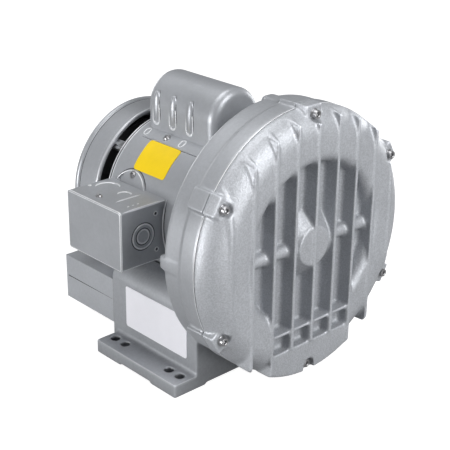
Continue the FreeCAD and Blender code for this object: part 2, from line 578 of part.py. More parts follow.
# Housing: ring with the rear half of the channel, neck for the motor, base with passages, feet
def blower_housing():
    inner = "(channel_radius - channel_round)"
    outer = "(channel_radius + channel_round)"
    neck_end = f"({SHELL_FRONT} + register_length)"
    step = "(ring_radius - ring_step)"
    ring_body = turned("housing_ring", [
        ("ring_radius", "seam_y"),
        ("ring_radius", "seam_y + ring_band"),
        (step, "seam_y + ring_band"),
        (step, f"{RING_REAR} - ring_round", "ring_round", 1),
        (f"{step} - ring_round", RING_REAR),
        ("neck_radius - fit_gap", RING_REAR),
        ("neck_radius - fit_gap", neck_end),
        ("neck_radius - neck_wall", neck_end),
        ("neck_radius - neck_wall", WALL_BACK),
        ("bearing_outer + hub_wall", WALL_BACK),
        ("bearing_outer + hub_wall", f"{FRONT_BEARING} + bearing_width"),
        ("bearing_outer", f"{FRONT_BEARING} + bearing_width"),
        ("bearing_outer", FRONT_BEARING),
        ("seal_radius - 3", FRONT_BEARING),
        ("seal_radius - 3", WALL_BACK),
        ("seal_radius", WALL_BACK),
        ("seal_radius", HUB_BAY_BACK),
        ("bay_radius", HUB_BAY_BACK),
        ("bay_radius", CHAMBER_BACK),
        (inner, CHAMBER_BACK, "channel_round", -1),
        (outer, CHAMBER_BACK),
        (outer, "seam_y"),
    ])
    stripper = turned("housing_stripper", [
        (f"{inner} - 1", CHAMBER_BACK),
        (f"{outer} + 1", CHAMBER_BACK),
        (f"{outer} + 1", f"{RING_REAR} - 1"),
        (f"{inner} - 1", f"{RING_REAR} - 1"),
    ], angle="rear_stripper", quarter=1)
    block = prism("base_block", "XZ_Plane", [
        ("-base_half", "0"),
        ("base_half", "0"),
        ("base_half", f"{BASE_TOP} - base_round", "base_round", 1),
        ("base_half - base_round", BASE_TOP),
        ("base_round - base_half", BASE_TOP, "base_round", 1),
        ("-base_half", f"{BASE_TOP} - base_round"),
    ], "base_length", y=BASE_REAR)
    saddle = rod("base_saddle", "shell_radius + motor_clear", "base_length + 5", y=f"{SHELL_FRONT} - 0.5")
    clearing = rod("base_neck_room", "neck_radius - neck_wall", "base_length + 5", y=WALL_BACK)
    foot_front = RING_REAR
    foot = box("feet", "-foot_half", foot_front, "0", "2 * foot_half", "foot_length", "foot_thick")
    relief = fuse(
        "pad_reliefs",
        box("relief_middle", "-foot_half + pad_width", f"{foot_front} - 1", "-1",
            "2 * foot_half - 2 * pad_width", "base_length + 2", "pad_relief + 1"),
        box("relief_sides", "-foot_half - 1", f"{foot_front} + pad_length", "-1",
            "2 * foot_half + 2", "foot_length - 2 * pad_length", "pad_relief + 1"),
        box("relief_rear", "-foot_half - 1", f"{foot_front} + foot_length", "-1",
            "2 * foot_half + 2", "base_length", "pad_relief + 1"),
    )
    bolt_holes = []
    for side in (-1, 1):
        for number, place in enumerate(("-hole_outer_y", "-hole_inner_y", "hole_inner_y", "hole_outer_y")):
            bolt_holes.append(rod(f"foot_hole_{side + 2}_{number}", "hole_radius", "foot_thick + 2",
                                  f"{side} * hole_x", place, "-1", lie="z"))
    passages = []
    chamber_low = "(silencer_bottom + silencer_wall)"
    for side in (-1, 1):
        passages.append(rod(f"duct_{side + 2}", "duct_radius", "ring_depth",
                            f"{side} * port_x", CHAMBER_BACK, DUCT_Z))
        passages.append(box(f"base_chamber_{side + 2}",
                            "port_x - 1.2 * duct_radius" if side > 0 else "-port_x - 1.8 * duct_radius",
                            f"{RING_REAR} + 6", chamber_low, "3 * duct_radius", "base_length",
                            f"{DUCT_Z} + 0.9 * duct_radius - {chamber_low}"))
    lugs = spread("housing_lugs", block_at("lug_width", "screw_circle - 4", "lug_radius"),
                  "seam_y", "lug_depth", "screw_count")
    threads = spread("housing_threads", circle_at("cover_screw_radius + fit_gap", "screw_circle"),
                     "seam_y - 1", "lug_depth - 1", "screw_count")
    # Ears rise backwards out of the ring's barrel at the top and at both sides
    ear_front = "(seam_y + ring_band)"
    ears = spread("housing_ears", block_at("2 * ear_radius", "ear_reach - 9", "ear_reach + 5"),
                  ear_front, f"{RING_REAR} + ear_overhang - {ear_front}", "4", angle=90)
    ear_slope = turned("ear_slope", [
        ("0", ear_front),
        (step, ear_front),
        ("ear_reach", f"{RING_REAR} - 3"),
        ("ear_reach", f"{RING_REAR} + ear_overhang - 4", "4", 1),
        ("ear_reach - 4", f"{RING_REAR} + ear_overhang"),
        ("0", f"{RING_REAR} + ear_overhang"),
    ])
    upper_ears = cut("ears_cut", common("ears_sloped", ears, ear_slope),
                     box("ears_below", "-ear_reach", f"{ear_front} - 10", "0",
                         "2 * ear_reach", "ring_depth + 40", "shaft_height - ear_radius - 1"))
    bolts = spread("neck_threads", circle_at("bolt_radius + fit_gap", "bolt_circle"),
                   f"{neck_end} - bolt_bite - 2", "bolt_bite + 3", "4", angle=0)
    silencer_threads = [
        rod(f"silencer_thread_{side + 2}_{level}", "silencer_bolt_radius + fit_gap", "15",
            f"{side} * silencer_bolt_x", f"{BASE_REAR} - 14", silencer_bolt_z(level))
        for side in (-1, 1) for level in (0, 1)
    ]
    base = cut("base_cut", fuse("base_and_feet", block, foot), saddle, clearing, relief, *bolt_holes)
    outer_skin = rod("base_front_trim", f"{step} - 0.5", "ring_depth", y="seam_y")
    base_clear = cut("base_trimmed", base, outer_skin)
    whole = fuse("housing_whole", ring_body, stripper, base_clear, lugs, upper_ears)
    return name_as(cut("blower_housing", whole, threads, bolts, *passages, *silencer_threads),
                   "blower_housing")


def silencer_bolt_z(level):
    """Height of the lower or upper silencer screws."""
    edge = "silencer_top" if level else "silencer_bottom"
    sign = "-" if level else "+"
    return f"({edge} {sign} 2.2 * silencer_wall)"


def cover_screws():
    return name_as(socket_screws("cover_screws", "cover_screw_radius", "screw_circle",
                                 "seam_y - seat_depth", "seat_depth + lug_depth - 5", "screw_count"),
                   "cover_screws")


def shaft_seal():
    lip = "(bearing_bore + turn_gap)"
    return name_as(turned("shaft_seal", [
        ("seal_radius - fit_gap", f"{HUB_BAY_BACK}"),
        ("seal_radius - fit_gap", WALL_BACK),
        (lip, WALL_BACK),
        (lip, f"{WALL_BACK} - 1.5"),
        ("seal_radius - 2", f"{WALL_BACK} - 1.5"),
        ("seal_radius - 2", f"{HUB_BAY_BACK}"),
    ]), "shaft_seal")


# Impeller: web and rim with a ring of half round pockets on each face, divided by blades
def impeller():
    inner = "(channel_radius - channel_round + 1)"
    outer = "(channel_radius + channel_round - turn_gap)"
    pocket_outer = f"({outer} - 2)"
    web_front = f"(({IMPELLER_FRONT} + {IMPELLER_BACK}) / 2 - impeller_web / 2)"
    web_back = f"({web_front} + impeller_web)"
    hub_front = f"({TIP_Y} - face_gap)"
    hub_back = f"({hub_front} + impeller_hub_length)"
    wheel = turned("impeller_wheel", [
        ("impeller_seat + fit_gap", hub_front),
        ("impeller_hub_radius", hub_front),
        ("impeller_hub_radius", web_front),
        (f"{inner} - 6", web_front),
        (f"{inner} - 2", IMPELLER_FRONT),
        (inner, IMPELLER_FRONT, "pocket_round", -1),
        (pocket_outer, IMPELLER_FRONT),
        (outer, IMPELLER_FRONT),
        (outer, IMPELLER_BACK),
        (pocket_outer, IMPELLER_BACK, "pocket_round", -1),
        (inner, IMPELLER_BACK),
        (f"{inner} - 2", IMPELLER_BACK),
        (f"{inner} - 6", web_back),
        ("impeller_hub_radius", web_back),
        ("impeller_hub_radius", hub_back),
        ("impeller_seat + fit_gap", hub_back),
    ])
    body = doc.addObject("PartDesign::Body", "impeller_blades")
    sketch = sketch_in(body, "XY_Plane")
    outline(sketch, [
        (f"{inner} - 0.5", IMPELLER_FRONT),
        (f"{pocket_outer} + 0.5", IMPELLER_FRONT),
        (f"{pocket_outer} + 0.5", IMPELLER_BACK),
        (f"{inner} - 0.5", IMPELLER_BACK),
    ])
    blade = body.newObject("PartDesign::Revolution", "impeller_blade")
    blade.Profile = sketch
    blade.ReferenceAxis = (sketch, ["V_Axis"])
    blade.Midplane = True
    bind(blade, Angle="blade_angle")
    pattern = body.newObject("PartDesign::PolarPattern", "impeller_blade_pattern")
    pattern.Originals = [blade]
    pattern.Axis = (sketch, ["V_Axis"])
    pattern.Angle = 360
    bind(pattern, Occurrences="blade_count")
    body.Tip = pattern
    bind(body, z="shaft_height")
    keyway = box("impeller_keyway", "-key_width / 2 - fit_gap", hub_front, "shaft_height",
                 "key_width + 2 * fit_gap", "impeller_hub_length", "impeller_seat + key_rise + fit_gap")
    return name_as(cut("impeller", fuse("impeller_bladed", wheel, body), keyway), "impeller")


def shaft_parts():
    hub_front = f"({TIP_Y} - face_gap)"
    hub_back = f"({hub_front} + impeller_hub_length)"
    rear_bearing_end = f"({REAR_BEARING} + bearing_width)"
    stack_end = f"({STACK_FRONT} + stack_length)"
    end = f"({SHROUD_BACK} - shaft_end_room)"
    shaft = turned("shaft_turned", [
        ("0", hub_front),
        ("impeller_seat", hub_front),
        ("impeller_seat", hub_back),
        ("bearing_bore", hub_back),
        ("bearing_bore", f"{FRONT_BEARING} + bearing_width"),
        ("rotor_seat", f"{FRONT_BEARING} + bearing_width"),
        ("rotor_seat", REAR_BEARING),
        ("bearing_bore", REAR_BEARING),
        ("bearing_bore", rear_bearing_end),
        ("(bearing_bore + fan_seat) / 2", rear_bearing_end),
        ("(bearing_bore + fan_seat) / 2", f"{end} - 3 - fan_depth"),
        ("fan_seat", f"{end} - 3 - fan_depth"),
        ("fan_seat", f"{end} - 3"),
        ("fan_seat - 0.8", f"{end} - 3"),
        ("fan_seat - 0.8", f"{end} - 2"),
        ("fan_seat", f"{end} - 2"),
        ("fan_seat", end),
        ("0", end),
    ])
    key_y = f"({hub_front} + 3)"
    keyway = box("shaft_keyway", "-key_width / 2 - fit_gap", key_y, "shaft_height + impeller_seat - 3",
                 "key_width + 2 * fit_gap", "key_length + 2 * fit_gap", "10")
    thread = rod("shaft_thread", "cover_screw_radius + fit_gap", "18", y=f"{hub_front} - 1")
    name_as(cut("motor_shaft", shaft, keyway, thread), "motor_shaft")
    name_as(box("impeller_key", "-key_width / 2", f"{key_y} + fit_gap", "shaft_height + impeller_seat - 3",
                "key_width", "key_length", "3 + key_rise"), "impeller_key")
    name_as(ring("impeller_washer", "washer_radius", "cover_screw_radius + screw_clear",
                 f"{hub_front} - 2", "2"), "impeller_washer")
    head = rod("impeller_screw_head", "cover_screw_radius / 0.6", "5", y=f"{hub_front} - 7")
    shank = rod("impeller_screw_shank", "cover_screw_radius", "17", y=f"{hub_front} - 2")
    socket = spread("impeller_screw_socket", hexagon_at("cover_screw_radius * 0.9", "0"),
                    f"{hub_front} - 8", "4", "1")
    name_as(cut("impeller_screw", fuse("impeller_screw_body", head, shank), socket), "impeller_screw")
    bars = spread("rotor_bars", circle_at("rotor_radius * 0.06", "rotor_radius * 0.9"), STACK_FRONT,
                  "stack_length", "slot_count")
    core = ring("rotor_stack", "rotor_radius", "rotor_seat + fit_gap", STACK_FRONT, "stack_length")
    end_ring = "rotor_radius - 2"
    name_as(fuse("rotor_core", core, bars,
                 ring("rotor_ring_front", end_ring, "rotor_radius * 0.7", f"{STACK_FRONT} - 5", "5"),
                 ring("rotor_ring_rear", end_ring, "rotor_radius * 0.7", stack_end, "5")), "rotor_core")


def bearing(end, start):
    """Outer ring, inner ring, and balls in their cage."""
    inner_top = "(bearing_bore + race_wall)"
    outer_low = "(bearing_outer - race_wall)"
    middle = f"({start} + bearing_width / 2)"
    pitch = "((bearing_bore + bearing_outer) / 2)"
    groove = "(ball_radius + ball_gap)"
    half = f"sqrt({groove}^2 - ({outer_low} - {pitch})^2)"
    outer = turned(f"{end}_bearing_outer", [
        ("bearing_outer - fit_gap", start),
        ("bearing_outer - fit_gap", f"{start} + bearing_width"),
        (outer_low, f"{start} + bearing_width"),
        (outer_low, f"{middle} + {half}", groove, -1),
        (outer_low, f"{middle} - {half}"),
        (outer_low, start),
    ])
    name_as(outer, f"{end}_bearing_outer")
    inner = turned(f"{end}_bearing_inner", [
        ("bearing_bore + fit_gap", start),
        ("bearing_bore + fit_gap", f"{start} + bearing_width"),
        (inner_top, f"{start} + bearing_width"),
        (inner_top, f"{middle} + {half}", groove, 1),
        (inner_top, f"{middle} - {half}"),
        (inner_top, start),
    ])
    name_as(inner, f"{end}_bearing_inner")
    body = doc.addObject("PartDesign::Body", f"{end}_balls")
    sketch = sketch_in(body, "XY_Plane")
    outline(sketch, [
        (pitch, f"{middle} - ball_radius", "ball_radius", 1),
        (pitch, f"{middle} + ball_radius"),
    ])
    ball = body.newObject("PartDesign::Revolution", f"{end}_ball")
    ball.Profile = sketch
    ball.ReferenceAxis = (sketch, ["Edge2"])
    pattern = body.newObject("PartDesign::PolarPattern", f"{end}_ball_pattern")
    pattern.Originals = [ball]
    pattern.Axis = (sketch, ["V_Axis"])
    pattern.Angle = 360
    bind(pattern, Occurrences="ball_count")
    body.Tip = pattern
    bind(body, z="shaft_height")
    cage = ring(f"{end}_cage_ring", f"{outer_low} - turn_gap", f"{inner_top} + turn_gap",
                f"{middle} - ball_radius * 0.5", "ball_radius")
    return name_as(fuse(f"{end}_ball_cage", body, cage), f"{end}_ball_cage")


def motor_parts():
    tube = ring("shell_tube", "shell_radius", SHELL_INNER, SHELL_FRONT, "shell_length")
    name_as(cut("motor_shell", tube, *shell_holes("thin_screw + fit_gap", "shell")), "motor_shell")
    stack = ring("stator_stack", f"{SHELL_INNER} - fit_gap", "stator_bore", STACK_FRONT, "stack_length")
    slots = spread("stator_slots", block_at("slot_width", "stator_bore + 2", "stator_bore + slot_depth"),
                   f"{STACK_FRONT} - 1", "stack_length + 2", "slot_count")
    mouths = spread("stator_mouths", block_at("slot_width / 3", "stator_bore - 2", "stator_bore + 4"),
                    f"{STACK_FRONT} - 1", "stack_length + 2", "slot_count")
    notches = spread("stator_notches", slot_at("2 * bolt_radius + 1.5", "bolt_circle", "shell_radius + 5"),
                     f"{STACK_FRONT} - 1", "stack_length + 2", "4")
    name_as(cut("stator_core", stack, slots, mouths, notches), "stator_core")
    overhang_radius = "(shell_radius - yoke)"
    for end, start in (("front", f"({STACK_FRONT} - winding_overhang)"),
                       ("rear", f"({STACK_FRONT} + stack_length)")):
        coil = turned(f"{end}_coil", [
            ("stator_bore + 2.5", start),
            (f"{overhang_radius} - 4", start),
            (overhang_radius, f"{start} + winding_overhang / 2"),
            (f"{overhang_radius} - 2", f"{start} + winding_overhang"),
            ("stator_bore + 2.5", f"{start} + winding_overhang"),
        ])
        COILS.append(coil)
    wires = spread("slot_wires", block_at("slot_width - 4 * fit_gap", "stator_bore + 4.5",
                                          "stator_bore + slot_depth - 4 * fit_gap"),
                   STACK_FRONT, "stack_length", "slot_count")
    name_as(fuse("stator_windings", wires, *COILS), "stator_windings")
    seat = "bearing_outer"
    shield = turned("shield_turned", [
        ("bearing_bore + 2", PLATE_BACK),
        ("bearing_bore + 2", f"{REAR_BEARING} + bearing_width + 1.5"),
        (seat, f"{REAR_BEARING} + bearing_width + 1.5"),
        (seat, REAR_BEARING),
        (f"{seat} + hub_wall", REAR_BEARING),
        (f"{SHELL_INNER} - fit_gap - 6", REAR_BEARING),
        (f"{SHELL_INNER} - fit_gap - 6", f"{REAR_BEARING} - 6"),
        (f"{SHELL_INNER} - fit_gap", f"{REAR_BEARING} - 6"),
        (f"{SHELL_INNER} - fit_gap", PLATE_BACK),
        (f"{seat} + hub_wall", PLATE_BACK),
        (f"{seat} + hub_wall", f"{REAR_BEARING} + bearing_width + 4"),
        ("bearing_bore + 2", f"{REAR_BEARING} + bearing_width + 4"),
    ][1:])
    arm_end = f"({SHROUD_BACK} - shroud_wall)"
    arms = spread("shield_arms", block_at("arm_width", "shroud_screw_circle - arm_height / 2",
                                          "shroud_screw_circle + arm_height / 2"),
                  f"{PLATE_BACK} - 2", f"{arm_end} - {PLATE_BACK} + 2", "4", angle=45)
    tabs = spread("shield_tabs", block_at("3", "shroud_screw_circle", "shroud_lip - fit_gap"),
                  PLATE_BACK, f"{SHROUD_FRONT} - {PLATE_BACK} + shroud_wall", "4", angle=45)
    ribs = spread("shield_ribs",
                  block_at("4", f"{seat} + hub_wall - 2", "shroud_screw_circle - arm_height / 2"),
                  f"{PLATE_BACK} - 2", "5", "8", angle=22.5)
    holes = spread("shield_holes", circle_at("bolt_radius + screw_clear", "bolt_circle"),
                   f"{REAR_BEARING} - 7", "end_plate + 8", "4")
    arm_threads = spread("arm_threads", circle_at("thin_screw + fit_gap", "shroud_screw_circle"),
                         f"{arm_end} - 9", "10", "4", angle=45)
    name_as(cut("rear_end_shield", fuse("shield_whole", shield, arms, tabs, ribs), holes, arm_threads),
            "rear_end_shield")
    neck_end = f"({SHELL_FRONT} + register_length)"
    grip_start = f"({neck_end} - bolt_bite)"
    shank = spread("through_bolt_shanks", circle_at("bolt_radius", "bolt_circle"), grip_start,
                   f"{PLATE_BACK} - {grip_start}", "4")
    heads = spread("through_bolt_heads", hexagon_at("bolt_radius * 1.8", "bolt_circle"), PLATE_BACK,
                   "3.5", "4")
    name_as(fuse("through_bolts", shank, heads), "through_bolts")
    washer_y = f"({REAR_BEARING} + bearing_width)"
    name_as(ring("preload_washer", "bearing_outer - 0.5", "bearing_outer - race_wall", washer_y, "1.5"),
            "preload_washer")


COILS = []


def fan_parts():
    fan_back = f"({SHROUD_BACK} - shaft_end_room - 3)"
    fan_front = f"({fan_back} - fan_depth)"
    hub = ring("fan_hub", "fan_seat + 6", "fan_seat + fit_gap", fan_front, "fan_depth")
    disc = ring("fan_disc", "fan_radius", "fan_seat + 3", f"{fan_front} + fan_depth / 2", "2")
    blades = spread("fan_blades_round", block_at("2", "fan_seat + 5", "fan_radius"), fan_front,
                    "fan_depth - 2", "fan_blades")
    name_as(fuse("cooling_fan", hub, disc, blades), "cooling_fan")
    clip_y = f"({SHROUD_BACK} - shaft_end_room - 3)"
    clip = ring("fan_clip_ring", "fan_seat + 2.5", "fan_seat - 0.8 + fit_gap", clip_y, "1")
    gap = box("fan_clip_gap", "-2", f"{clip_y} - 1", "shaft_height", "4", "3", "20")
    name_as(cut("fan_clip", clip, gap), "fan_clip")
    outer, wall, curve = "shroud_radius", "shroud_wall", "shroud_round"
    cup = turned("shroud_cup", [
        ("0", SHROUD_BACK),
        ("0", f"{SHROUD_BACK} - {wall}"),
        (f"{outer} - {curve}", f"{SHROUD_BACK} - {wall}", f"{curve} - {wall}", -1),
        (f"{outer} - {wall}", f"{SHROUD_BACK} - {curve}"),
        (f"{outer} - {wall}", f"{SHROUD_FRONT} + {wall}"),
        ("shroud_lip", f"{SHROUD_FRONT} + {wall}"),
        ("shroud_lip", SHROUD_FRONT),
        (f"{outer} - 1", SHROUD_FRONT),
        (outer, f"{SHROUD_FRONT} + 1"),
        (outer, f"{SHROUD_BACK} - {curve}", curve, 1),
        (f"{outer} - {curve}", SHROUD_BACK),
    ])
    inner_slots = spread("grille_inner", slot_at("grille_slot", "fan_seat + 10", "fan_radius * 0.5"),
                         f"{SHROUD_BACK} - 3", "5", "grille_count / 2")
    outer_slots = spread("grille_outer", slot_at("grille_slot", "fan_radius * 0.58", "fan_radius * 0.84"),
                         f"{SHROUD_BACK} - 3", "5", "grille_count")
    holes = spread("shroud_holes", circle_at("2.3", "shroud_screw_circle"), f"{SHROUD_BACK} - 3", "5", "4",
                   angle=45)
    name_as(cut("fan_shroud", cup, inner_slots, outer_slots, holes), "fan_shroud")
    heads = spread("shroud_screw_heads", circle_at("3.6", "shroud_screw_circle"), SHROUD_BACK, "2.4", "4",
                   angle=45)
    shanks = spread("shroud_screw_shanks", circle_at("thin_screw", "shroud_screw_circle"),
                    f"{SHROUD_BACK} - 9", "9", "4", angle=45)
    slots = spread("shroud_screw_slots", block_at("1", "shroud_screw_circle - 5", "shroud_screw_circle + 5"),
                   f"{SHROUD_BACK} + 1.2", "3", "4", angle=45)
    name_as(cut("shroud_screws", fuse("shroud_screw_bodies", heads, shanks), slots), "shroud_screws")


# Silencer box behind the base: two shells, a port plate, foam sleeves on perforated tubes
def silencer_parts():
    wall = "silencer_wall"
    plate_front = f"({BOX_REAR} - plate_thick)"
    chamber_low = f"(silencer_bottom + {wall})"
    chamber_high = f"(silencer_top - {wall})"
    along = f"{BOX_REAR} - {BASE_REAR} + 2"
    saddle = rod("silencer_saddle", "shroud_radius + shroud_clear", along, y=f"{BASE_REAR} - 1")
    above_room = rod("silencer_roof", f"shroud_radius + shroud_clear + {wall}", along, y=f"{BASE_REAR} - 1")
    gasket_frame = box("gasket_frame", "-silencer_half", BASE_REAR, "silencer_bottom",
                       "2 * silencer_half", "gasket_thick", "silencer_top - silencer_bottom")
    holes = [rod(f"gasket_hole_{side + 2}", "duct_radius - tube_wall", "gasket_thick + 2", f"{side} * port_x",
                 f"{BASE_REAR} - 1", "silencer_seam") for side in (-1, 1)]
    bolt_room = [rod(f"bolt_room_{side + 2}_{level}", "silencer_bolt_radius + screw_clear",
                     "silencer_length + 10", f"{side} * silencer_bolt_x", f"{BASE_REAR} - 1",
                     silencer_bolt_z(level))
                 for side in (-1, 1) for level in (0, 1)]
    name_as(cut("silencer_gasket", gasket_frame, *holes, *bolt_room, saddle), "silencer_gasket")
    rebate = f"({wall} - plate_rebate)"
    for label, low, high in (("silencer_lower_shell", "silencer_bottom", "silencer_seam"),
                             ("silencer_upper_shell", "silencer_seam", "silencer_top")):
        lower = low == "silencer_bottom"
        block = box(label + "_block", "-silencer_half", BOX_FRONT, low, "2 * silencer_half",
                    "silencer_length", f"{high} - {low}")
        floor = chamber_low if lower else "silencer_seam - 1"
        roof = "silencer_seam + 1" if lower else chamber_high
        rooms = [box(f"{label}_room_{side + 2}", f"-silencer_half + {wall}" if side < 0 else f"{wall} / 2",
                     f"{BOX_FRONT} - 1", floor, f"silencer_half - 1.5 * {wall}", "silencer_length",
                     f"{roof} - ({floor})") for side in (-1, 1)]
        seat = box(label + "_seat", f"-silencer_half + {rebate} - fit_gap", plate_front,
                   f"silencer_bottom + {rebate} - fit_gap" if lower else floor,
                   f"2 * (silencer_half - {rebate} + fit_gap)", "plate_thick + 1",
                   f"{roof} - silencer_bottom - {rebate} + fit_gap" if lower
                   else f"silencer_top - {rebate} + fit_gap - ({floor})")
        edge = "silencer_top" if not lower else "silencer_bottom"
        bosses = [rod(f"{label}_boss_{side + 2}", "5.5", f"{plate_front} - {BOX_FRONT}",
                      f"{side} * silencer_bolt_x", BOX_FRONT, silencer_bolt_z(0 if lower else 1))
                  for side in (-1, 1)]
        arched = cut(label + "_rooms", fuse(label + "_room", *rooms), above_room)
        hollow = cut(label + "_hollow", block, seat, arched)
        name_as(cut(label, fuse(label + "_bossed", hollow, *bosses), saddle, *bolt_room), label)
    plate = box("port_plate_blank", f"-silencer_half + {rebate}", plate_front, f"silencer_bottom + {rebate}",
                f"2 * (silencer_half - {rebate})", "plate_thick",
                f"silencer_top - silencer_bottom - 2 * {rebate}")
    ports = []
    for side in (-1, 1):
        where = dict(x=f"{side} * port_x", z="silencer_seam")
        ports.append(rod(f"port_{side + 2}", "port_radius", "plate_thick",
                         y=f"{plate_front} + tube_seat", **where))
        ports.append(rod(f"port_mouth_{side + 2}", "duct_radius - tube_wall", "plate_thick + 2",
                         y=f"{plate_front} - 1", **where))
    name_as(cut("port_plate", plate, *ports, saddle, *bolt_room), "port_plate")
    tubes, foams = [], []
    for side in (-1, 1):
        where = dict(x=f"{side} * port_x", z="silencer_seam")
        length = f"{plate_front} - {BOX_FRONT}"
        tubes.append(cut(f"tube_{side + 2}",
                         rod(f"tube_out_{side + 2}", "duct_radius", length, y=BOX_FRONT, **where),
                         rod(f"tube_in_{side + 2}", "duct_radius - tube_wall", f"{length} + 2",
                             y=f"{BOX_FRONT} - 1", **where)))
        foams.append(cut(f"foam_{side + 2}",
                         rod(f"foam_out_{side + 2}", "duct_radius + foam_thick", f"{length} - 4",
                             y=f"{BOX_FRONT} + 2", **where),
                         rod(f"foam_in_{side + 2}", "duct_radius + fit_gap", length, y=BOX_FRONT, **where)))
    name_as(fuse("silencer_tubes", *tubes), "silencer_tubes")
    name_as(fuse("silencer_foam", *foams), "silencer_foam")
    screws = []
    for side in (-1, 1):
        for level in (0, 1):
            where = dict(x=f"{side} * silencer_bolt_x", z=silencer_bolt_z(level))
            screws.append(rod(f"silencer_shank_{side + 2}_{level}", "silencer_bolt_radius",
                              f"{BOX_REAR} - {BASE_REAR} + 12", y=f"{BASE_REAR} - 12", **where))
            screws.append(rod(f"silencer_head_{side + 2}_{level}", "silencer_bolt_radius * 1.7", "3",
                              y=BOX_REAR, **where))
    name_as(fuse("silencer_screws", *screws), "silencer_screws")


def on_shell(name, outer, start, length, shape):
    """What a sheet wrapped on the motor shell keeps of a shape."""
    sheet_ring = ring(name + "_wrap", outer, "shell_radius + fit_gap", start, length)
    return common(name, sheet_ring, shape)


def conduit_parts():
    low, height, sheet_ = BOX_LOW, "conduit_height", "conduit_sheet"
    blank = box("conduit_blank", f"-{LID_BACK}", "conduit_front", low, f"{LID_BACK} - shell_radius * 0.6",
                "conduit_length", height)
    room = box("conduit_room", f"-{LID_BACK} - 1", f"conduit_front + {sheet_}", f"{low} + {sheet_}",
               f"{LID_BACK} + 1 - shell_radius * 0.6", f"conduit_length - 2 * {sheet_}",
               f"{height} - 2 * {sheet_}")
    doc.recompute()
    rounded = rounded_box("conduit_rounded", blank, "x", "conduit_round")
    shell_room = rod("conduit_shell_room", "shell_radius + fit_gap", "conduit_length + 40",
                     y="conduit_front - 20")
    back = rod("conduit_back", f"shell_radius + {sheet_}", "conduit_length + 40", y="conduit_front - 20")
    inside = cut("conduit_inside", room, back)
    tab_rods = [rod(f"conduit_tab_{side + 2}", "tab_radius", "60", f"-{LID_BACK} + 10", "tab_y",
                    f"{low} + {height} / 2 + {side} * tab_spread", lie="x") for side in (-1, 1)]
    slots = [rod(f"tab_slot_{side + 2}_{end}", "slot_radius", "60", f"-{LID_BACK} + 10",
                 f"tab_y + 13 + {end}", f"{low} + {height} / 2 + {side} * (tab_screw - 4 - {end})", lie="x")
             for side in (-1, 1) for end in (0, 2)]
    tabs = on_shell("conduit_tabs", f"shell_radius + {sheet_}", "conduit_front", "conduit_length",
                    cut("conduit_tab_slotted", fuse("conduit_tab_rods", *tab_rods), *slots))
    wide = cut("conduit_shell", rounded, inside, shell_room)
    lid_screw_x, lid_screw_y = "-(conduit_reach - 11)", "(conduit_front + conduit_length / 2 + 6)"
    top = f"({low} + {height})"
    name_as(cut("conduit_box", fuse("conduit_with_tabs", wide, tabs), knockout_marks(),
                rod("conduit_lid_hole", "thin_screw + fit_gap", "10", lid_screw_x, lid_screw_y,
                    f"{top} - 8", lie="z"),
                *shell_holes("thin_screw + screw_clear", "conduit")), "conduit_box")
    lid = box("lid_blank", "-conduit_reach", "conduit_front", low, "lid_thick", "conduit_length", height)
    tongue = box("lid_tongue", f"-{LID_BACK}", "conduit_front + conduit_length / 2 - 1",
                 f"{low} + {height} - {sheet_} - 1.5", "16", "14", "1.5")
    doc.recompute()
    lid_hole = rod("lid_hole", "thin_screw + fit_gap", "10", lid_screw_x, lid_screw_y, f"{top} - 6", lie="z")
    plate = rounded_box("lid_rounded", lid, "x", "conduit_round")
    name_as(cut("conduit_lid", fuse("lid_whole", plate, tongue), lid_hole), "conduit_lid")
    name_as(fuse("lid_screw", rod("lid_screw_head", "3.4", "1.8", lid_screw_x, lid_screw_y, top, lie="z"),
                 rod("lid_screw_shank", "thin_screw", "5", lid_screw_x, lid_screw_y, f"{top} - 5", lie="z")),
            "conduit_lid_screw")


def knockout_marks():
    """The grooves that let a conduit knockout be pressed out of the front wall."""
    where = dict(x="-knockout_x", y="conduit_front - 1", z=f"{BOX_LOW} + knockout_y_rise")
    grooves = []
    for number, radius in enumerate(("knockout_radius", "knockout_radius * 0.55")):
        grooves.append(cut(f"knockout_{number}", rod(f"knockout_out_{number}", radius, "1.4", **where),
                           rod(f"knockout_in_{number}", f"{radius} - 0.8", "1.4", **where)))
    return fuse("knockouts", *grooves)


def rounded_box(name, base, direction, radius):
    """The box with its four edges along one direction rounded."""
    axis = {"x": Vector(1, 0, 0), "y": Vector(0, 1, 0), "z": Vector(0, 0, 1)}[direction]
    made = doc.addObject("Part::Fillet", name)
    made.Base = base
    size = amount_of(radius)
    picked = []
    for number, edge in enumerate(base.Shape.Edges, start=1):
        along = (edge.Vertexes[1].Point - edge.Vertexes[0].Point).normalize()
        if abs(along.dot(axis)) > 0.99:
            picked.append((number, size, size))
    made.Edges = picked
    return made


def arch(name, inset):
    """The capacitor cover's outside, or its inside with an inset."""
    half = f"(can_half - {inset})"
    spring = f"({CAN_TOP} - can_half)"
    body = prism(name, "XZ_Plane", [
        (f"-{half}", "shaft_height + shell_radius * 0.7"),
        (half, "shaft_height + shell_radius * 0.7"),
        (half, spring, half, 1),
        (f"-{half}", spring),
    ], f"can_length - 2 * {inset}", y=f"can_front + can_length - {inset}")
    doc.recompute()
    pad = body.Tip
    ends = []
    for number, edge in enumerate(pad.Shape.Edges, start=1):
        box_of = edge.BoundBox
        flat = box_of.YLength < 0.01
        if flat and box_of.ZMax > amount_of("shaft_height + shell_radius"):
            ends.append(f"Edge{number}")
    fillet = body.newObject("PartDesign::Fillet", name + "_round")
    fillet.Base = (pad, ends)
    bind(fillet, Radius=f"can_round - {inset}")
    body.Tip = fillet
    return body


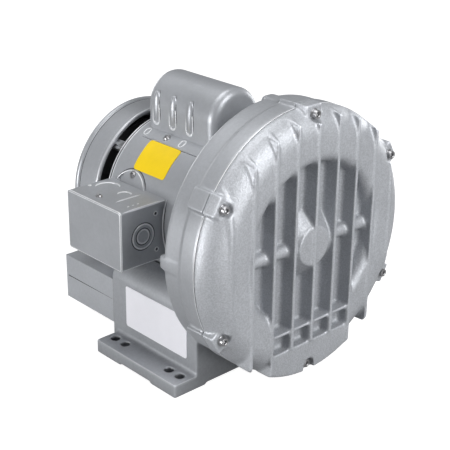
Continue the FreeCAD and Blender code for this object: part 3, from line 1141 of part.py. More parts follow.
def capacitor_parts():
    outer = arch("can_outer", "0")
    inner = arch("can_inner", "can_sheet")
    shell_room = rod("can_shell_room", "shell_radius + fit_gap", "can_length + 20", y="can_front - 10")
    ribs = []
    for side in (-1, 1):
        for number in range(3):
            rib = doc.addObject("Part::Ellipsoid", f"can_rib_{side + 2}_{number}")
            bind(rib, Radius1="rib_height / 2", Radius2="rib_rise + rib_sink", Radius3="rib_width / 2",
                 x=f"{side} * (can_half - rib_sink)",
                 y=f"can_front + can_length * (0.35 + 0.25 * {number})", z=f"{CAN_TOP} - rib_drop")
            ribs.append(rib)
    strips = [box(f"can_flange_{side + 2}", "can_half - 2" if side > 0 else "-can_half - flange_width",
                  "can_front + 3", "shaft_height", "flange_width + 2", "can_length - 6", "shell_radius")
              for side in (-1, 1)]
    flange = on_shell("can_flanges", "shell_radius + can_sheet", "can_front", "can_length",
                      fuse("can_strips", *strips))
    slots = [rod(f"flange_slot_{side + 2}_{place}_{end}", "slot_radius", "60",
                 f"{side} * (can_half + flange_width / 2 - 1 + {end})", f"can_front + can_length * {place}",
                 "shaft_height", lie="z")
             for side in (-1, 1) for place in (0.39, 0.92) for end in (0, 2)]
    body = cut("can_body", fuse("can_solid", outer, *ribs, cut("can_flanges_slotted", flange, *slots)),
               inner, shell_room)
    name_as(cut("capacitor_cover", body, *shell_holes("thin_screw + screw_clear", "can")), "capacitor_cover")
    centre_z = "(shaft_height + shell_radius + capacitor_gap + capacitor_radius)"
    name_as(rod("run_capacitor", "capacitor_radius", "capacitor_length", "0",
                "can_front + can_length / 2 - capacitor_length / 2", centre_z), "run_capacitor")
    cradle_low = "(shaft_height + shell_radius * 0.92)"
    cradle = box("cradle_blank", "-can_half + can_sheet + 0.5", "can_front + can_length / 2 - 24", cradle_low,
                 "2 * (can_half - can_sheet - 0.5)", "48", f"{centre_z} - 4 - {cradle_low}")
    name_as(cut("capacitor_cradle", cradle,
                rod("cradle_room", "capacitor_radius + fit_gap", "60", "0",
                    "can_front + can_length / 2 - 30", centre_z),
                rod("cradle_shell_room", "shell_radius + fit_gap", "60", "0",
                    "can_front + can_length / 2 - 30")),
            "capacitor_cradle")


def turned_rod(name, radius, reach, length, angle, y):
    """A rod that stands out of the shaft's axis at an angle from straight up."""
    made = doc.addObject("Part::Cylinder", name)
    made.Placement = FreeCAD.Placement(Vector(), FreeCAD.Rotation(Vector(0, 1, 0), amount_of(angle)))
    made.setExpression("Placement.Rotation.Angle", bound(angle))
    return bind(made, Radius=radius, Height=length, x=f"({reach}) * sin({angle})", y=y,
                z=f"shaft_height + ({reach}) * cos({angle})")


CAN_SCREWS = [(f"{side} * asin((can_half + flange_width / 2) / (shell_radius + can_sheet))",
               "can_front + can_length * 0.62") for side in (-1, 1)]
CONDUIT_SCREWS = [(f"-acos((conduit_height / 2 - conduit_drop + {side} * tab_screw)"
                   " / (shell_radius + conduit_sheet))", "tab_y") for side in (1, -1)]


def shell_holes(radius, name):
    """Screw holes through whatever lies on the motor shell, and through the shell."""
    return [turned_rod(f"{name}_hole_{number}", radius, "shell_radius - 4", "10", angle, y)
            for number, (angle, y) in enumerate(CAN_SCREWS + CONDUIT_SCREWS)]


def small_screws():
    """Pan head screws that hold the capacitor cover and the conduit box to the shell."""
    for label, sheet_thick, places in (
        ("capacitor_cover_screws", "can_sheet", CAN_SCREWS),
        ("conduit_box_screws", "conduit_sheet", CONDUIT_SCREWS),
    ):
        pieces = []
        for number, (angle, y) in enumerate(places):
            seat = f"(shell_radius + {sheet_thick})"
            pieces.append(turned_rod(f"{label}_head_{number}", "3.6", seat, "2.2", angle, y))
            pieces.append(turned_rod(f"{label}_shank_{number}", "thin_screw", SHELL_INNER,
                                     f"{seat} - {SHELL_INNER} + 1", angle, y))
        name_as(fuse(label, *pieces), label)


def plates():
    """The blank plate on the base and the blank sticker on the motor shell."""
    blank = box("plate_blank", "-base_half - plate_sheet",
                f"{BASE_REAR} - plate_inset - plate_length", "foot_thick + plate_rise",
                "plate_sheet", "plate_length", "plate_height")
    doc.recompute()
    name_as(rounded_box("rating_plate", blank, "x", "plate_corner"), "rating_plate")
    start = f"({SHELL_FRONT} + sticker_start)"
    film = ring("sticker_ring", "shell_radius + plate_sheet", "shell_radius + fit_gap", start,
                "sticker_length")
    wedge = prism("sticker_wedge", "XZ_Plane", [
        ("0", "0"),
        ("-shell_radius * 1.3 * sin(sticker_low * 1 deg)", "shell_radius * 1.3 * cos(sticker_low * 1 deg)"),
        ("-shell_radius * 1.3 * sin(sticker_high * 1 deg)", "shell_radius * 1.3 * cos(sticker_high * 1 deg)"),
    ], "sticker_length + 10", y=f"{start} + sticker_length + 5", z="shaft_height")
    name_as(common("shell_sticker", film, wedge), "shell_sticker")


channel_cover()
blower_housing()
cover_screws()
shaft_seal()
impeller()
shaft_parts()
bearing("front", FRONT_BEARING)
bearing("rear", REAR_BEARING)
motor_parts()
fan_parts()
silencer_parts()
conduit_parts()
capacitor_parts()
small_screws()
plates()
doc.recompute()

# Every object has to be sound before anything is written
faults = [f"{thing.Name}: {thing.State}" for thing in doc.Objects
          if "Invalid" in thing.State or "Error" in thing.State]
for part in PARTS:
    if part.Shape.isNull() or not part.Shape.isValid() or not part.Shape.Solids:
        faults.append(f"{part.Label}: no valid solid")
if faults:
    raise RuntimeError("; ".join(faults))

os.makedirs("parts", exist_ok=True)
for part in PARTS:
    part.Shape.exportStep(f"parts/{part.Label}.step")
    room = part.Shape.optimalBoundingBox(False)
    ends = (room.XMin, room.XMax, room.YMin, room.YMax, room.ZMin, room.ZMax)
    print(f"{part.Label:24s} solids {len(part.Shape.Solids):3d}  volume {part.Shape.Volume:12.1f}  box",
          *(f"{end:7.1f}" for end in ends))
print(len(PARTS), "sub-parts")
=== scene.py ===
# %% [markdown]
# # A side channel blower, dressed in Blender
# The blower is a heavy aluminium casting with a ribbed front cover, a sheet steel motor behind it, and
# two pressed sheet covers on the motor. Its solids come from the CAD frame. This notebook gives them
# cast edges, pressed sheet details and finishes, one piece at a time.

# %% Load the frame
import json
import math

import bmesh
import bpy
from mathutils import Matrix, Vector

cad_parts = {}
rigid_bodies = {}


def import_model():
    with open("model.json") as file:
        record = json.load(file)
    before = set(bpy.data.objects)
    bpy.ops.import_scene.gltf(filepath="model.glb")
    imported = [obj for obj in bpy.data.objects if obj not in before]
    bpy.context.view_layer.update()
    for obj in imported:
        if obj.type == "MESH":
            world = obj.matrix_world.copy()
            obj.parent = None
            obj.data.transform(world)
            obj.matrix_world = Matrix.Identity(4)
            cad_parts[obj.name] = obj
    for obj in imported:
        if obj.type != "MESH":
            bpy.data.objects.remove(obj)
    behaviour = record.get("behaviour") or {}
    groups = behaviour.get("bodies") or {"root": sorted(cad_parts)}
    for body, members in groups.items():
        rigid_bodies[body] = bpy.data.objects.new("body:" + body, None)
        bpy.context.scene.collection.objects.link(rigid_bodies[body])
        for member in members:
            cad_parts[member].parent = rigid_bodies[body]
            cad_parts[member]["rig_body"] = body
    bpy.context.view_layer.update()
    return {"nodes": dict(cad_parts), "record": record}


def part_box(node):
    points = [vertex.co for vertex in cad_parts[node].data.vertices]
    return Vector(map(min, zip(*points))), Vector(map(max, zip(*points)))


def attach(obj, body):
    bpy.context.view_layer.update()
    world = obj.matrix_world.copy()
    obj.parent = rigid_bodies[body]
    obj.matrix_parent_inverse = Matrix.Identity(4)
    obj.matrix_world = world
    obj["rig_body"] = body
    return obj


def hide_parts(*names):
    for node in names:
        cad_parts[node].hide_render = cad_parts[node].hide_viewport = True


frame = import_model()
nodes = frame["nodes"]
MM = 0.001
SHAFT_Z = 0.133

# %% [markdown]
# ## Camera
# The camera stands in front of the cover, to its left and above, as in the photograph. A long lens was
# likely used, because the far edges of the box shapes hardly close in. Its axes are built from one
# direction, so that nothing has to be aimed by eye.

# %% Camera
LENS = 89.56
SENSOR = 36.0
EYE = Vector((-0.6403, -0.6890, 0.5140))
BACK = Vector((-0.6287, -0.6728, 0.3899)).normalized()
ROLL = math.radians(0.73)

camera_data = bpy.data.cameras.new("photo_camera")
camera_data.lens = LENS
camera_data.sensor_width = SENSOR
camera = bpy.data.objects.new("photo_camera", camera_data)
bpy.context.scene.collection.objects.link(camera)
side = Vector((0, 0, 1)).cross(BACK).normalized()
rise = BACK.cross(side)
axes = Matrix((side, rise, BACK)).transposed()
camera.matrix_world = Matrix.Translation(EYE) @ (axes @ Matrix.Rotation(ROLL, 3, "Z")).to_4x4()
bpy.context.scene.camera = camera
print("camera", tuple(round(v, 4) for v in camera.location))

# %% [markdown]
# ## Studio
# The real picture was taken on a white sweep with large soft boxes. A curved floor sheet without a
# corner gives an even white ground. Shadows lie under the ribs and under the conduit box, while upright
# and level faces are nearly as bright as each other, so the main lamp was high in front. Wide soft
# lamps from the left, from low in front and from above fill the rest. Two weaker ones behind and on the
# right are for the sides that the picture doesn't show.
#
# Most shapes in this notebook are rows of corners, joined with faces. One helper does that for all.

# %% Rows into faces


def loft(bm, rows, around=False, closed=False, capped=False):
    """Faces between rows of corners: also right round a row, from last row to first, over the ends."""
    for low, high in zip(rows, rows[1:] + rows[:1] if closed else rows[1:]):
        for i in range(len(low) if around else len(low) - 1):
            after = (i + 1) % len(low)
            bm.faces.new((low[i], low[after], high[after], high[i]))
    if capped:
        bm.faces.new(list(reversed(rows[0])))
        bm.faces.new(rows[-1])


# %% Floor
FLOOR_HALF = 3.0
FLOOR_BEND = 1.5
FLOOR_STEPS = 32


def studio_floor():
    """A pale sheet that runs flat under the blower and curves up behind it."""
    mesh = bpy.data.meshes.new("studio_floor")
    bm = bmesh.new()
    rows = []
    for step in range(FLOOR_STEPS + 1):
        along = step / FLOOR_STEPS
        if along < 0.5:
            y, z = -FLOOR_HALF + along * 2 * (FLOOR_HALF + FLOOR_BEND), 0.0
        else:
            turn = (along - 0.5) * math.pi
            y, z = FLOOR_BEND + FLOOR_BEND * math.sin(turn), FLOOR_BEND - FLOOR_BEND * math.cos(turn)
        rows.append([bm.verts.new((x, y, z)) for x in (-FLOOR_HALF, FLOOR_HALF)])
    loft(bm, rows)
    for face in bm.faces:
        face.smooth = True
    bm.to_mesh(mesh)
    bm.free()
    floor = bpy.data.objects.new("studio_floor", mesh)
    bpy.context.scene.collection.objects.link(floor)
    return floor


floor = studio_floor()

# %% Lights
AIM = Vector((0.0, 0.0, 0.12))


def soft_box(name, place, width, height, power):
    """A rectangular area lamp at place, turned to the middle of the blower."""
    data = bpy.data.lights.new(name, "AREA")
    data.shape = "RECTANGLE"
    data.size, data.size_y = width, height
    data.energy = power
    lamp = bpy.data.objects.new(name, data)
    lamp.location = place
    lamp.rotation_euler = (Vector(place) - AIM).to_track_quat("Z", "Y").to_euler()
    bpy.context.scene.collection.objects.link(lamp)


soft_box("key_box", (0.12, -1.25, 1.10), 0.8, 0.8, 18.0)
soft_box("front_box", (0.08, -1.80, 0.30), 0.9, 0.6, 10.0)
soft_box("left_box", (-1.42, 0.26, 0.15), 0.7, 0.28, 14.5)
soft_box("top_box", (-0.15, 0.30, 1.60), 1.0, 1.0, 14.0)
soft_box("rear_box", (0.35, 1.90, 0.45), 0.9, 0.6, 7.5)
soft_box("right_box", (1.50, 0.05, 0.30), 0.7, 0.6, 7.0)

# %% [markdown]
# The backdrop has to be white in the picture, but a bright sky would wash out the shadows. So the
# camera sees one glow, and the surfaces get another, much weaker one.

# %% Backdrop
GLOW_GIVEN, GLOW_SEEN = 0.05, 1.0
world = bpy.data.worlds.new("studio_air")
bpy.context.scene.world = world
world.use_nodes = True
air = world.node_tree
air.nodes.clear()
ray = air.nodes.new("ShaderNodeLightPath")
pick = air.nodes.new("ShaderNodeMixShader")
out = air.nodes.new("ShaderNodeOutputWorld")
for index, colour, strength in ((1, (0.93, 0.96, 1, 1), GLOW_GIVEN), (2, (1, 1, 1, 1), GLOW_SEEN)):
    glow = air.nodes.new("ShaderNodeBackground")
    glow.inputs["Color"].default_value = colour
    glow.inputs["Strength"].default_value = strength
    air.links.new(glow.outputs[0], pick.inputs[index])
air.links.new(ray.outputs["Is Camera Ray"], pick.inputs["Fac"])
air.links.new(pick.outputs[0], out.inputs["Surface"])
bpy.context.scene.view_settings.view_transform = "Standard"

# %% [markdown]
# ## Effects that several finishes share
# Cast metal, paint and sheet differ in a few effects only: a grain in the surface, slow changes of
# tone, brighter edges and darker hollows, and fine lines from a tool. The brighter edges are wear with a
# painted highlight, and the darker hollows are dust with painted shade. Each effect is one node group with
# named inputs, so that every finish can place it with its own values.

# %% Group helper


def new_group(name, inputs, outputs):
    """A node group with float inputs (name, value) and outputs (name, socket type)."""
    group = bpy.data.node_groups.new(name, "ShaderNodeTree")
    group.interface.new_socket(name="Place", in_out="INPUT", socket_type="NodeSocketVector")
    for label, value in inputs:
        socket = group.interface.new_socket(name=label, in_out="INPUT", socket_type="NodeSocketFloat")
        socket.default_value = value
    for label, kind in outputs:
        group.interface.new_socket(name=label, in_out="OUTPUT", socket_type=kind)
    start = group.nodes.new("NodeGroupInput")
    end = group.nodes.new("NodeGroupOutput")
    return group, start, end


# %% Node helpers


def wire(tree, *pairs):
    """Links each pair of sockets."""
    for source, target in pairs:
        tree.links.new(source, target)


def mixed(tree, kind, first, second):
    """A math node on two sockets or numbers."""
    node = tree.nodes.new("ShaderNodeMath")
    node.operation = kind
    for index, value in enumerate((first, second)):
        if isinstance(value, (int, float)):
            node.inputs[index].default_value = value
        else:
            tree.links.new(value, node.inputs[index])
    return node.outputs[0]


def noise(tree, place, scale, detail=2.0, rough=0.5):
    """A noise texture; its scale may be a number or a socket."""
    node = tree.nodes.new("ShaderNodeTexNoise")
    node.inputs["Detail"].default_value = detail
    node.inputs["Roughness"].default_value = rough
    tree.links.new(place, node.inputs["Vector"])
    if isinstance(scale, (int, float)):
        node.inputs["Scale"].default_value = scale
    else:
        tree.links.new(scale, node.inputs["Scale"])
    return node.outputs["Fac"]


def spanned(tree, *limits):
    """A map range node, with its limits where they are given."""
    node = tree.nodes.new("ShaderNodeMapRange")
    for label, value in zip(("From Min", "From Max", "To Min", "To Max"), limits):
        node.inputs[label].default_value = value
    return node


# %% [markdown]
# ### Cast grain
# Blasted castings sparkle because each sand grain leaves a tiny dent. Two noises of different size,
# added together, give dents with soft rims. The group puts out a height for the bump and a fleck mask.

# %% Cast grain
grain, start, end = new_group(
    "cast_grain",
    [("Grain Scale", 900.0), ("Coarse Share", 0.4)],
    [("Height", "NodeSocketFloat"), ("Flecks", "NodeSocketFloat")],
)
fine = noise(grain, start.outputs["Place"], start.outputs["Grain Scale"], 2.0, 0.6)
coarse_scale = mixed(grain, "MULTIPLY", start.outputs["Grain Scale"], 0.4)
coarse = noise(grain, start.outputs["Place"], coarse_scale, 1.0, 0.5)
coarse_part = mixed(grain, "MULTIPLY", coarse, start.outputs["Coarse Share"])
height = mixed(grain, "ADD", fine, coarse_part)
spread = spanned(grain, 0.35, 0.68)
wire(grain, (fine, spread.inputs["Value"]), (spread.outputs[0], end.inputs["Flecks"]),
     (height, end.inputs["Height"]))

# %% [markdown]
# ### Slow tone
# Sprayed paint is never quite even. A large soft noise, with a smaller one in it, moves the tone a
# little lighter and darker.

# %% Slow tone
tone, start, end = new_group(
    "slow_tone",
    [("Patch Scale", 18.0), ("Low", 0.9), ("High", 1.1)],
    [("Tone", "NodeSocketFloat")],
)
patches = noise(tone, start.outputs["Place"], start.outputs["Patch Scale"], 5.0, 0.62)
toned = spanned(tone, 0.3, 0.7)
wire(tone, (patches, toned.inputs["Value"]), (start.outputs["Low"], toned.inputs["To Min"]),
     (start.outputs["High"], toned.inputs["To Max"]), (toned.outputs[0], end.inputs["Tone"]))

# %% [markdown]
# ### Edge wear and painted light
# Raised edges of a casting are rubbed brighter, and the brightening also paints a highlight on them.
# Hollows keep dust and are darkened further by painted shade. Cycles knows how pointed the mesh is at
# each place, and a broken noise keeps the bright line from looking drawn. Corners that little light
# reaches get painted shade, and the ambient occlusion node finds those within about 3 cm.

# %% Edge wear and painted light
wear_and_light, start, end = new_group(
    "edge_wear_and_light",
    [("Break Scale", 260.0), ("Edge Start", 0.513), ("Edge Full", 0.565)],
    [("Edges", "NodeSocketFloat"), ("Hollows", "NodeSocketFloat")],
)
pointed = wear_and_light.nodes.new("ShaderNodeNewGeometry").outputs["Pointiness"]
broken = noise(wear_and_light, start.outputs["Place"], start.outputs["Break Scale"], 3.0, 0.6)
shift = mixed(wear_and_light, "MULTIPLY", mixed(wear_and_light, "SUBTRACT", broken, 0.5), 0.02)
shifted = mixed(wear_and_light, "ADD", pointed, shift)
edges = spanned(wear_and_light)
hollows = spanned(wear_and_light, 0.49, 0.42)
wire(wear_and_light, (shifted, edges.inputs["Value"]), (start.outputs["Edge Start"], edges.inputs["From Min"]),
     (start.outputs["Edge Full"], edges.inputs["From Max"]), (edges.outputs[0], end.inputs["Edges"]),
     (shifted, hollows.inputs["Value"]))
# Painted shade: ambient occlusion darkens corners that light hardly reaches, added to the hollows.
corner = wear_and_light.nodes.new("ShaderNodeAmbientOcclusion")
corner.samples = 8
corner.inputs["Distance"].default_value = 0.032
corner_shade = mixed(wear_and_light, "SUBTRACT", 1.0, corner.outputs["AO"])
wire(wear_and_light, (mixed(wear_and_light, "ADD", hollows.outputs[0], corner_shade), end.inputs["Hollows"]))

# %% [markdown]
# ### Tool lines
# Turned and ground parts carry fine rings round their axis, and stacked steel sheets show as stripes.
# Both are the same all round the shaft, so one noise serves them. It gets the distance from the shaft
# and the place along it.

# %% Tool lines
lines, start, end = new_group(
    "tool_lines",
    [("Line Scale", 1500.0), ("Unevenness", 0.5)],
    [("Height", "NodeSocketFloat"), ("Streaks", "NodeSocketFloat")],
)
split = lines.nodes.new("ShaderNodeSeparateXYZ")
lines.links.new(start.outputs["Place"], split.inputs[0])
off_axis = mixed(lines, "SUBTRACT", split.outputs["Z"], SHAFT_Z)
across2 = mixed(lines, "MULTIPLY", split.outputs["X"], split.outputs["X"])
up2 = mixed(lines, "MULTIPLY", off_axis, off_axis)
reach = mixed(lines, "SQRT", mixed(lines, "ADD", across2, up2), 0)
join = lines.nodes.new("ShaderNodeCombineXYZ")
wire(lines, (reach, join.inputs["X"]), (split.outputs["Y"], join.inputs["Y"]))
streaks = noise(lines, join.outputs[0], start.outputs["Line Scale"], 2.0, 0.7)
uneven = mixed(lines, "MULTIPLY", streaks, start.outputs["Unevenness"])
wire(lines, (streaks, end.inputs["Streaks"]), (uneven, end.inputs["Height"]))
print("groups", [g.name for g in bpy.data.node_groups])

# %% [markdown]
# ## Finishes
# Each finish is one Principled shader. What is the same all over is set on its sockets; what changes
# over the surface comes from the groups: grain, slow tone, edge wear with painted light, and tool lines.

# %% Finish builder
ROUGH_SWING = 0.08
LOOKS = {}


def finish(slot, colour, metallic, roughness, grain_scale, grain_depth, patch=(18.0, 0.93, 1.07), flecks=0.0,
           wear_and_highlight=0.0, dust_and_shade=0.0, streaks=0.0, line_scale=1500.0, coat=0.0):
    """Makes a procedural finish, mostly for a material slot of the record."""
    made = bpy.data.materials.new(slot)
    made.use_nodes = True
    tree = made.node_tree
    shader = tree.nodes["Principled BSDF"]
    shader.inputs["Metallic"].default_value = metallic
    shader.inputs["Coat Weight"].default_value = coat
    place = tree.nodes.new("ShaderNodeTexCoord").outputs["Object"]

    def group(tree_group, **values):
        node = tree.nodes.new("ShaderNodeGroup")
        node.node_tree = tree_group
        tree.links.new(place, node.inputs["Place"])
        for label, value in values.items():
            node.inputs[label.replace("_", " ")].default_value = value
        return node

    def swung(level, source, amount):
        """The tone, moved up and down by an effect."""
        swing = mixed(tree, "MULTIPLY", mixed(tree, "SUBTRACT", source, 0.5), amount)
        return mixed(tree, "ADD", level, swing)

    patches = group(tone, Patch_Scale=patch[0], Low=patch[1], High=patch[2])
    dents = group(grain, Grain_Scale=grain_scale)
    level = patches.outputs["Tone"]
    height = dents.outputs["Height"]
    if flecks:
        level = swung(level, dents.outputs["Flecks"], flecks)
    # Painted light: edges get a painted highlight on top of wear, and hollows and dim corners get painted shade
    # on top of dust.
    if wear_and_highlight or dust_and_shade:
        worn_and_lit = group(wear_and_light)
        lift = mixed(tree, "MULTIPLY", worn_and_lit.outputs["Edges"], wear_and_highlight)
        sink = mixed(tree, "MULTIPLY", worn_and_lit.outputs["Hollows"], dust_and_shade)
        level = mixed(tree, "SUBTRACT", mixed(tree, "ADD", level, lift), sink)
    if streaks:
        rings = group(lines, Line_Scale=line_scale)
        level = swung(level, rings.outputs["Streaks"], streaks)
        height = mixed(tree, "ADD", height, rings.outputs["Height"])
    scaled = tree.nodes.new("ShaderNodeVectorMath")
    scaled.operation = "SCALE"
    scaled.inputs[0].default_value = colour
    rough = spanned(tree, 0.6, 1.4, roughness + ROUGH_SWING, roughness - ROUGH_SWING)
    bump = tree.nodes.new("ShaderNodeBump")
    bump.inputs["Strength"].default_value = 1.0
    bump.inputs["Distance"].default_value = grain_depth
    wire(tree, (level, scaled.inputs["Scale"]), (scaled.outputs[0], shader.inputs["Base Color"]),
         (level, rough.inputs["Value"]), (rough.outputs[0], shader.inputs["Roughness"]),
         (height, bump.inputs["Height"]), (bump.outputs[0], shader.inputs["Normal"]))
    LOOKS[slot] = made


# %% [markdown]
# Each call gives the colour, the share of metal, the roughness, and the scale and depth of the grain.
# The cover is blasted and sprayed silver, with a deep grain. The housing, the silencer and the sheet
# covers carry a smooth satin grey. Two lighter greys are painted highlights on beads, rims and bends, and
# a near black is painted shadow in joints, grooves and gaps. The inside parts are bare metal, rubber,
# plastic, paper and foam. The floor glows a little for the camera alone, so that it stays white.

# %% Finishes
SATIN = (0.395, 0.41, 0.436)
# The cast finishes carry a painted highlight on edges and painted shade in hollows and corners.
finish("cast_silver", (0.472, 0.489, 0.520), 0.38, 0.46, 760, 0.00032, flecks=0.26, wear_and_highlight=0.55, dust_and_shade=0.25)
finish("cast_grey", SATIN, 0.35, 0.42, 380, 0.00010, flecks=0.08, wear_and_highlight=0.25, dust_and_shade=0.40)
finish("sheet_grey", SATIN, 0.35, 0.40, 300, 0.00006, flecks=0.05)
# Painted highlight: the next two light greys. Painted shadow: the near black joint finish.
finish("sheet_painted_highlight", (0.74, 0.755, 0.78), 0.3, 0.34, 300, 0.00004, flecks=0.05)
finish("sheet_soft_highlight", (0.53, 0.545, 0.57), 0.3, 0.38, 300, 0.00004, flecks=0.05)
finish("joint_shadow", (0.07, 0.072, 0.078), 0.1, 0.75, 300, 0.00004, flecks=0.2)
finish("zinc_steel", (0.42, 0.42, 0.43), 0.9, 0.38, 800, 0.00004, flecks=0.2, streaks=0.2)
finish("bearing_steel", (0.72, 0.72, 0.74), 1.0, 0.16, 900, 0.00001, streaks=0.15)
finish("lamination", (0.22, 0.22, 0.24), 0.8, 0.42, 500, 0.00006, streaks=0.6, line_scale=1900)
finish("copper", (0.60, 0.24, 0.08), 0.85, 0.30, 700, 0.0002, streaks=0.5, line_scale=1100)
finish("machined_aluminium", (0.66, 0.67, 0.69), 0.9, 0.30, 700, 0.00003, streaks=0.25)
finish("dark_rubber", (0.022, 0.022, 0.023), 0.0, 0.62, 600, 0.00008, flecks=0.2)
finish("black_plastic", (0.028, 0.028, 0.030), 0.0, 0.46, 700, 0.00006, flecks=0.15)
finish("capacitor_can", (0.62, 0.63, 0.64), 0.9, 0.26, 600, 0.00002, streaks=0.2)
finish("gasket_paper", (0.09, 0.082, 0.065), 0.0, 0.85, 900, 0.00012, flecks=0.35)
finish("foam", (0.035, 0.035, 0.035), 0.0, 0.9, 420, 0.0009, flecks=0.8)
finish("white_sticker", (0.84, 0.84, 0.89), 0.0, 0.42, 350, 0.00003, patch=(30.0, 0.97, 1.03), coat=0.15)
finish("yellow_sticker", (0.80, 0.56, 0.002), 0.0, 0.55, 350, 0.00003, patch=(40.0, 0.94, 1.05))
finish("floor_paper", (0.22, 0.22, 0.22), 0.0, 0.7, 300, 0.00002, patch=(2.0, 0.995, 1.005))
paper = LOOKS["floor_paper"].node_tree
paper_shader = paper.nodes["Principled BSDF"]
paper_shader.inputs["Emission Color"].default_value = (1, 1, 1, 1)
seen = paper.nodes.new("ShaderNodeLightPath")
lifted = mixed(paper, "MULTIPLY", seen.outputs["Is Camera Ray"], 0.97)
paper.links.new(lifted, paper_shader.inputs["Emission Strength"])
floor.data.materials.append(LOOKS["floor_paper"])
print("finishes", len(LOOKS))

# %% [markdown]
# ## Dressing the CAD nodes
# The record already says which finish each node has. Nodes whose shape is right keep it and only
# change their material; the cast and pressed ones are replaced further down.

# %% Materials on every node
SLOTS = {part["node"]: part["material_slot"] for part in frame["record"]["subparts"]}
for name, node in nodes.items():
    node.data.materials.clear()
    node.data.materials.append(LOOKS[SLOTS[name]])
print("dressed", len(SLOTS), "nodes")

# %% [markdown]
# ## Cast pieces
# Castings have no sharp edge: sand and draft leave small roundings outside and wider ones in the
# corners. Bevelling each edge of such a crossed shape is fragile. Here the CAD shape is turned into an
# even voxel skin instead. The skin swells by a radius, is rebuilt, and shrinks back in three steps,
# which fills the inner corners to about that radius. A last relaxing rounds the ridges.

# %% Pieces that ride on a body


def new_piece(name, mesh, like, look=None):
    """Puts a mesh into the scene that rides with CAD node `like`, in its finish or in another."""
    piece = bpy.data.objects.new(name, mesh)
    bpy.context.scene.collection.objects.link(piece)
    mesh.materials.clear()
    mesh.materials.append(LOOKS[look or SLOTS[like]])
    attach(piece, nodes[like]["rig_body"])
    print(name, len(mesh.polygons), "faces")
    return piece


def stand_in(name, mesh, node_name):
    """Puts a mesh in a CAD node's place."""
    piece = new_piece(name, mesh, node_name)
    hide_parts(node_name)


# %% Copies and modifiers
WELD = 2e-6
FLAT = math.radians(0.4)


def joined_copy(node):
    """The node's mesh as one closed skin, with its flat faces joined."""
    bm = bmesh.new()
    bm.from_mesh(node.data)
    bmesh.ops.remove_doubles(bm, verts=bm.verts, dist=WELD)
    bmesh.ops.dissolve_limit(bm, angle_limit=FLAT, verts=bm.verts, edges=bm.edges)
    mesh = bpy.data.meshes.new(node.name + "_copy")
    bm.to_mesh(mesh)
    bm.free()
    return mesh


def applied(mesh, *modifiers):
    """The mesh after the modifiers, each given as a kind and its settings."""
    holder = bpy.data.objects.new("holder", mesh)
    bpy.context.scene.collection.objects.link(holder)
    for kind, settings in modifiers:
        modifier = holder.modifiers.new(kind, kind)
        for key, value in settings.items():
            setattr(modifier, key, value)
    ready = holder.evaluated_get(bpy.context.evaluated_depsgraph_get())
    result = bpy.data.meshes.new_from_object(ready)
    bpy.data.objects.remove(holder)
    bpy.data.meshes.remove(mesh)
    return result


def smooth_by_angle(mesh, degrees):
    """Shades the mesh smooth and keeps edges sharper than the angle."""
    mesh.polygons.foreach_set("use_smooth", [True] * len(mesh.polygons))
    mesh.set_sharp_from_angle(angle=math.radians(degrees))
    mesh.update()


# %% Cast skin


def cast_skin(name, node_name, voxel, keep, fillet):
    """A softened casting that stands for a CAD node, with its inner corners filled to a radius."""
    skin = ("REMESH", {"mode": "VOXEL", "voxel_size": voxel, "use_smooth_shade": True})
    swell = ("DISPLACE", {"strength": fillet, "mid_level": 0.0})
    shrink = ("DISPLACE", {"strength": -fillet / 3, "mid_level": 0.0})
    relax = ("SMOOTH", {"factor": 0.5, "iterations": 1})
    mesh = applied(joined_copy(nodes[node_name]), skin, swell, skin, shrink, relax, shrink, relax, shrink, skin,
                   relax, ("DECIMATE", {"ratio": keep}))
    smooth_by_angle(mesh, 50)
    stand_in(name, mesh, node_name)


# %% [markdown]
# ### Cover and housing
# The cover's fins are about 3 mm thick, so its voxels have to be finer than 1 mm. The housing is larger
# and plainer and takes slightly coarser ones, with a smaller radius in its corners. The last number
# before the radius is the share of the faces that is kept.

# %% Cover and housing
cast_skin("cast_cover", "channel_cover", 0.8 * MM, 0.25, 1.2 * MM)
cast_skin("cast_housing", "blower_housing", 0.85 * MM, 0.18, 0.9 * MM)

# %% [markdown]
# ## Sheet pieces and small castings
# Pressed sheet has small even bend radii, which the bevel tool gives well on these plainer shapes. The
# large flat faces then lead the shading, by weighted normals, so that they look flat up to the bend,
# and the faces square to the shaft take exactly their own direction.

# %% Bevelled pieces
SQUARE = 0.99999


def bevelled(name, node_name, width):
    """A node with its edges rounded."""
    mesh = applied(
        joined_copy(nodes[node_name]),
        ("BEVEL", {"width": width, "segments": 3, "limit_method": "ANGLE", "angle_limit": math.radians(28),
                   "use_clamp_overlap": True}),
        ("TRIANGULATE", {}),
    )
    smooth_by_angle(mesh, 35)
    mesh = applied(mesh, ("WEIGHTED_NORMAL", {"mode": "FACE_AREA", "weight": 90, "keep_sharp": True}))
    normals = [corner.vector.copy() for corner in mesh.corner_normals]
    for face in mesh.polygons:
        if abs(face.normal.y) > SQUARE:
            for corner in face.loop_indices:
                normals[corner] = face.normal.copy()
    mesh.normals_split_custom_set(normals)
    stand_in(name, mesh, node_name)


bevelled("silencer_bowl", "silencer_lower_shell", 1.6 * MM)
bevelled("silencer_lid", "silencer_upper_shell", 1.6 * MM)
bevelled("threaded_port_plate", "port_plate", 0.8 * MM)
bevelled("pressed_conduit_box", "conduit_box", 0.45 * MM)
bevelled("pressed_conduit_lid", "conduit_lid", 0.85 * MM)
bevelled("pressed_capacitor_cover", "capacitor_cover", 0.4 * MM)
bevelled("pressed_fan_shroud", "fan_shroud", 0.4 * MM)

# %% [markdown]
# ## Beads and rims in the sheet
# Pressing dies leave raised lines in sheet: the rings of the knockouts, short marks on top of the
# conduit box, and the rims of the shell and of the shroud. Such a line is a half round section moved
# along a path. The path needs a direction that points out of the surface at each point, so the same
# code serves flat faces and the round shell. A very low bead in a dark finish gives a joint or a
# sheared line that lies in its own shadow.

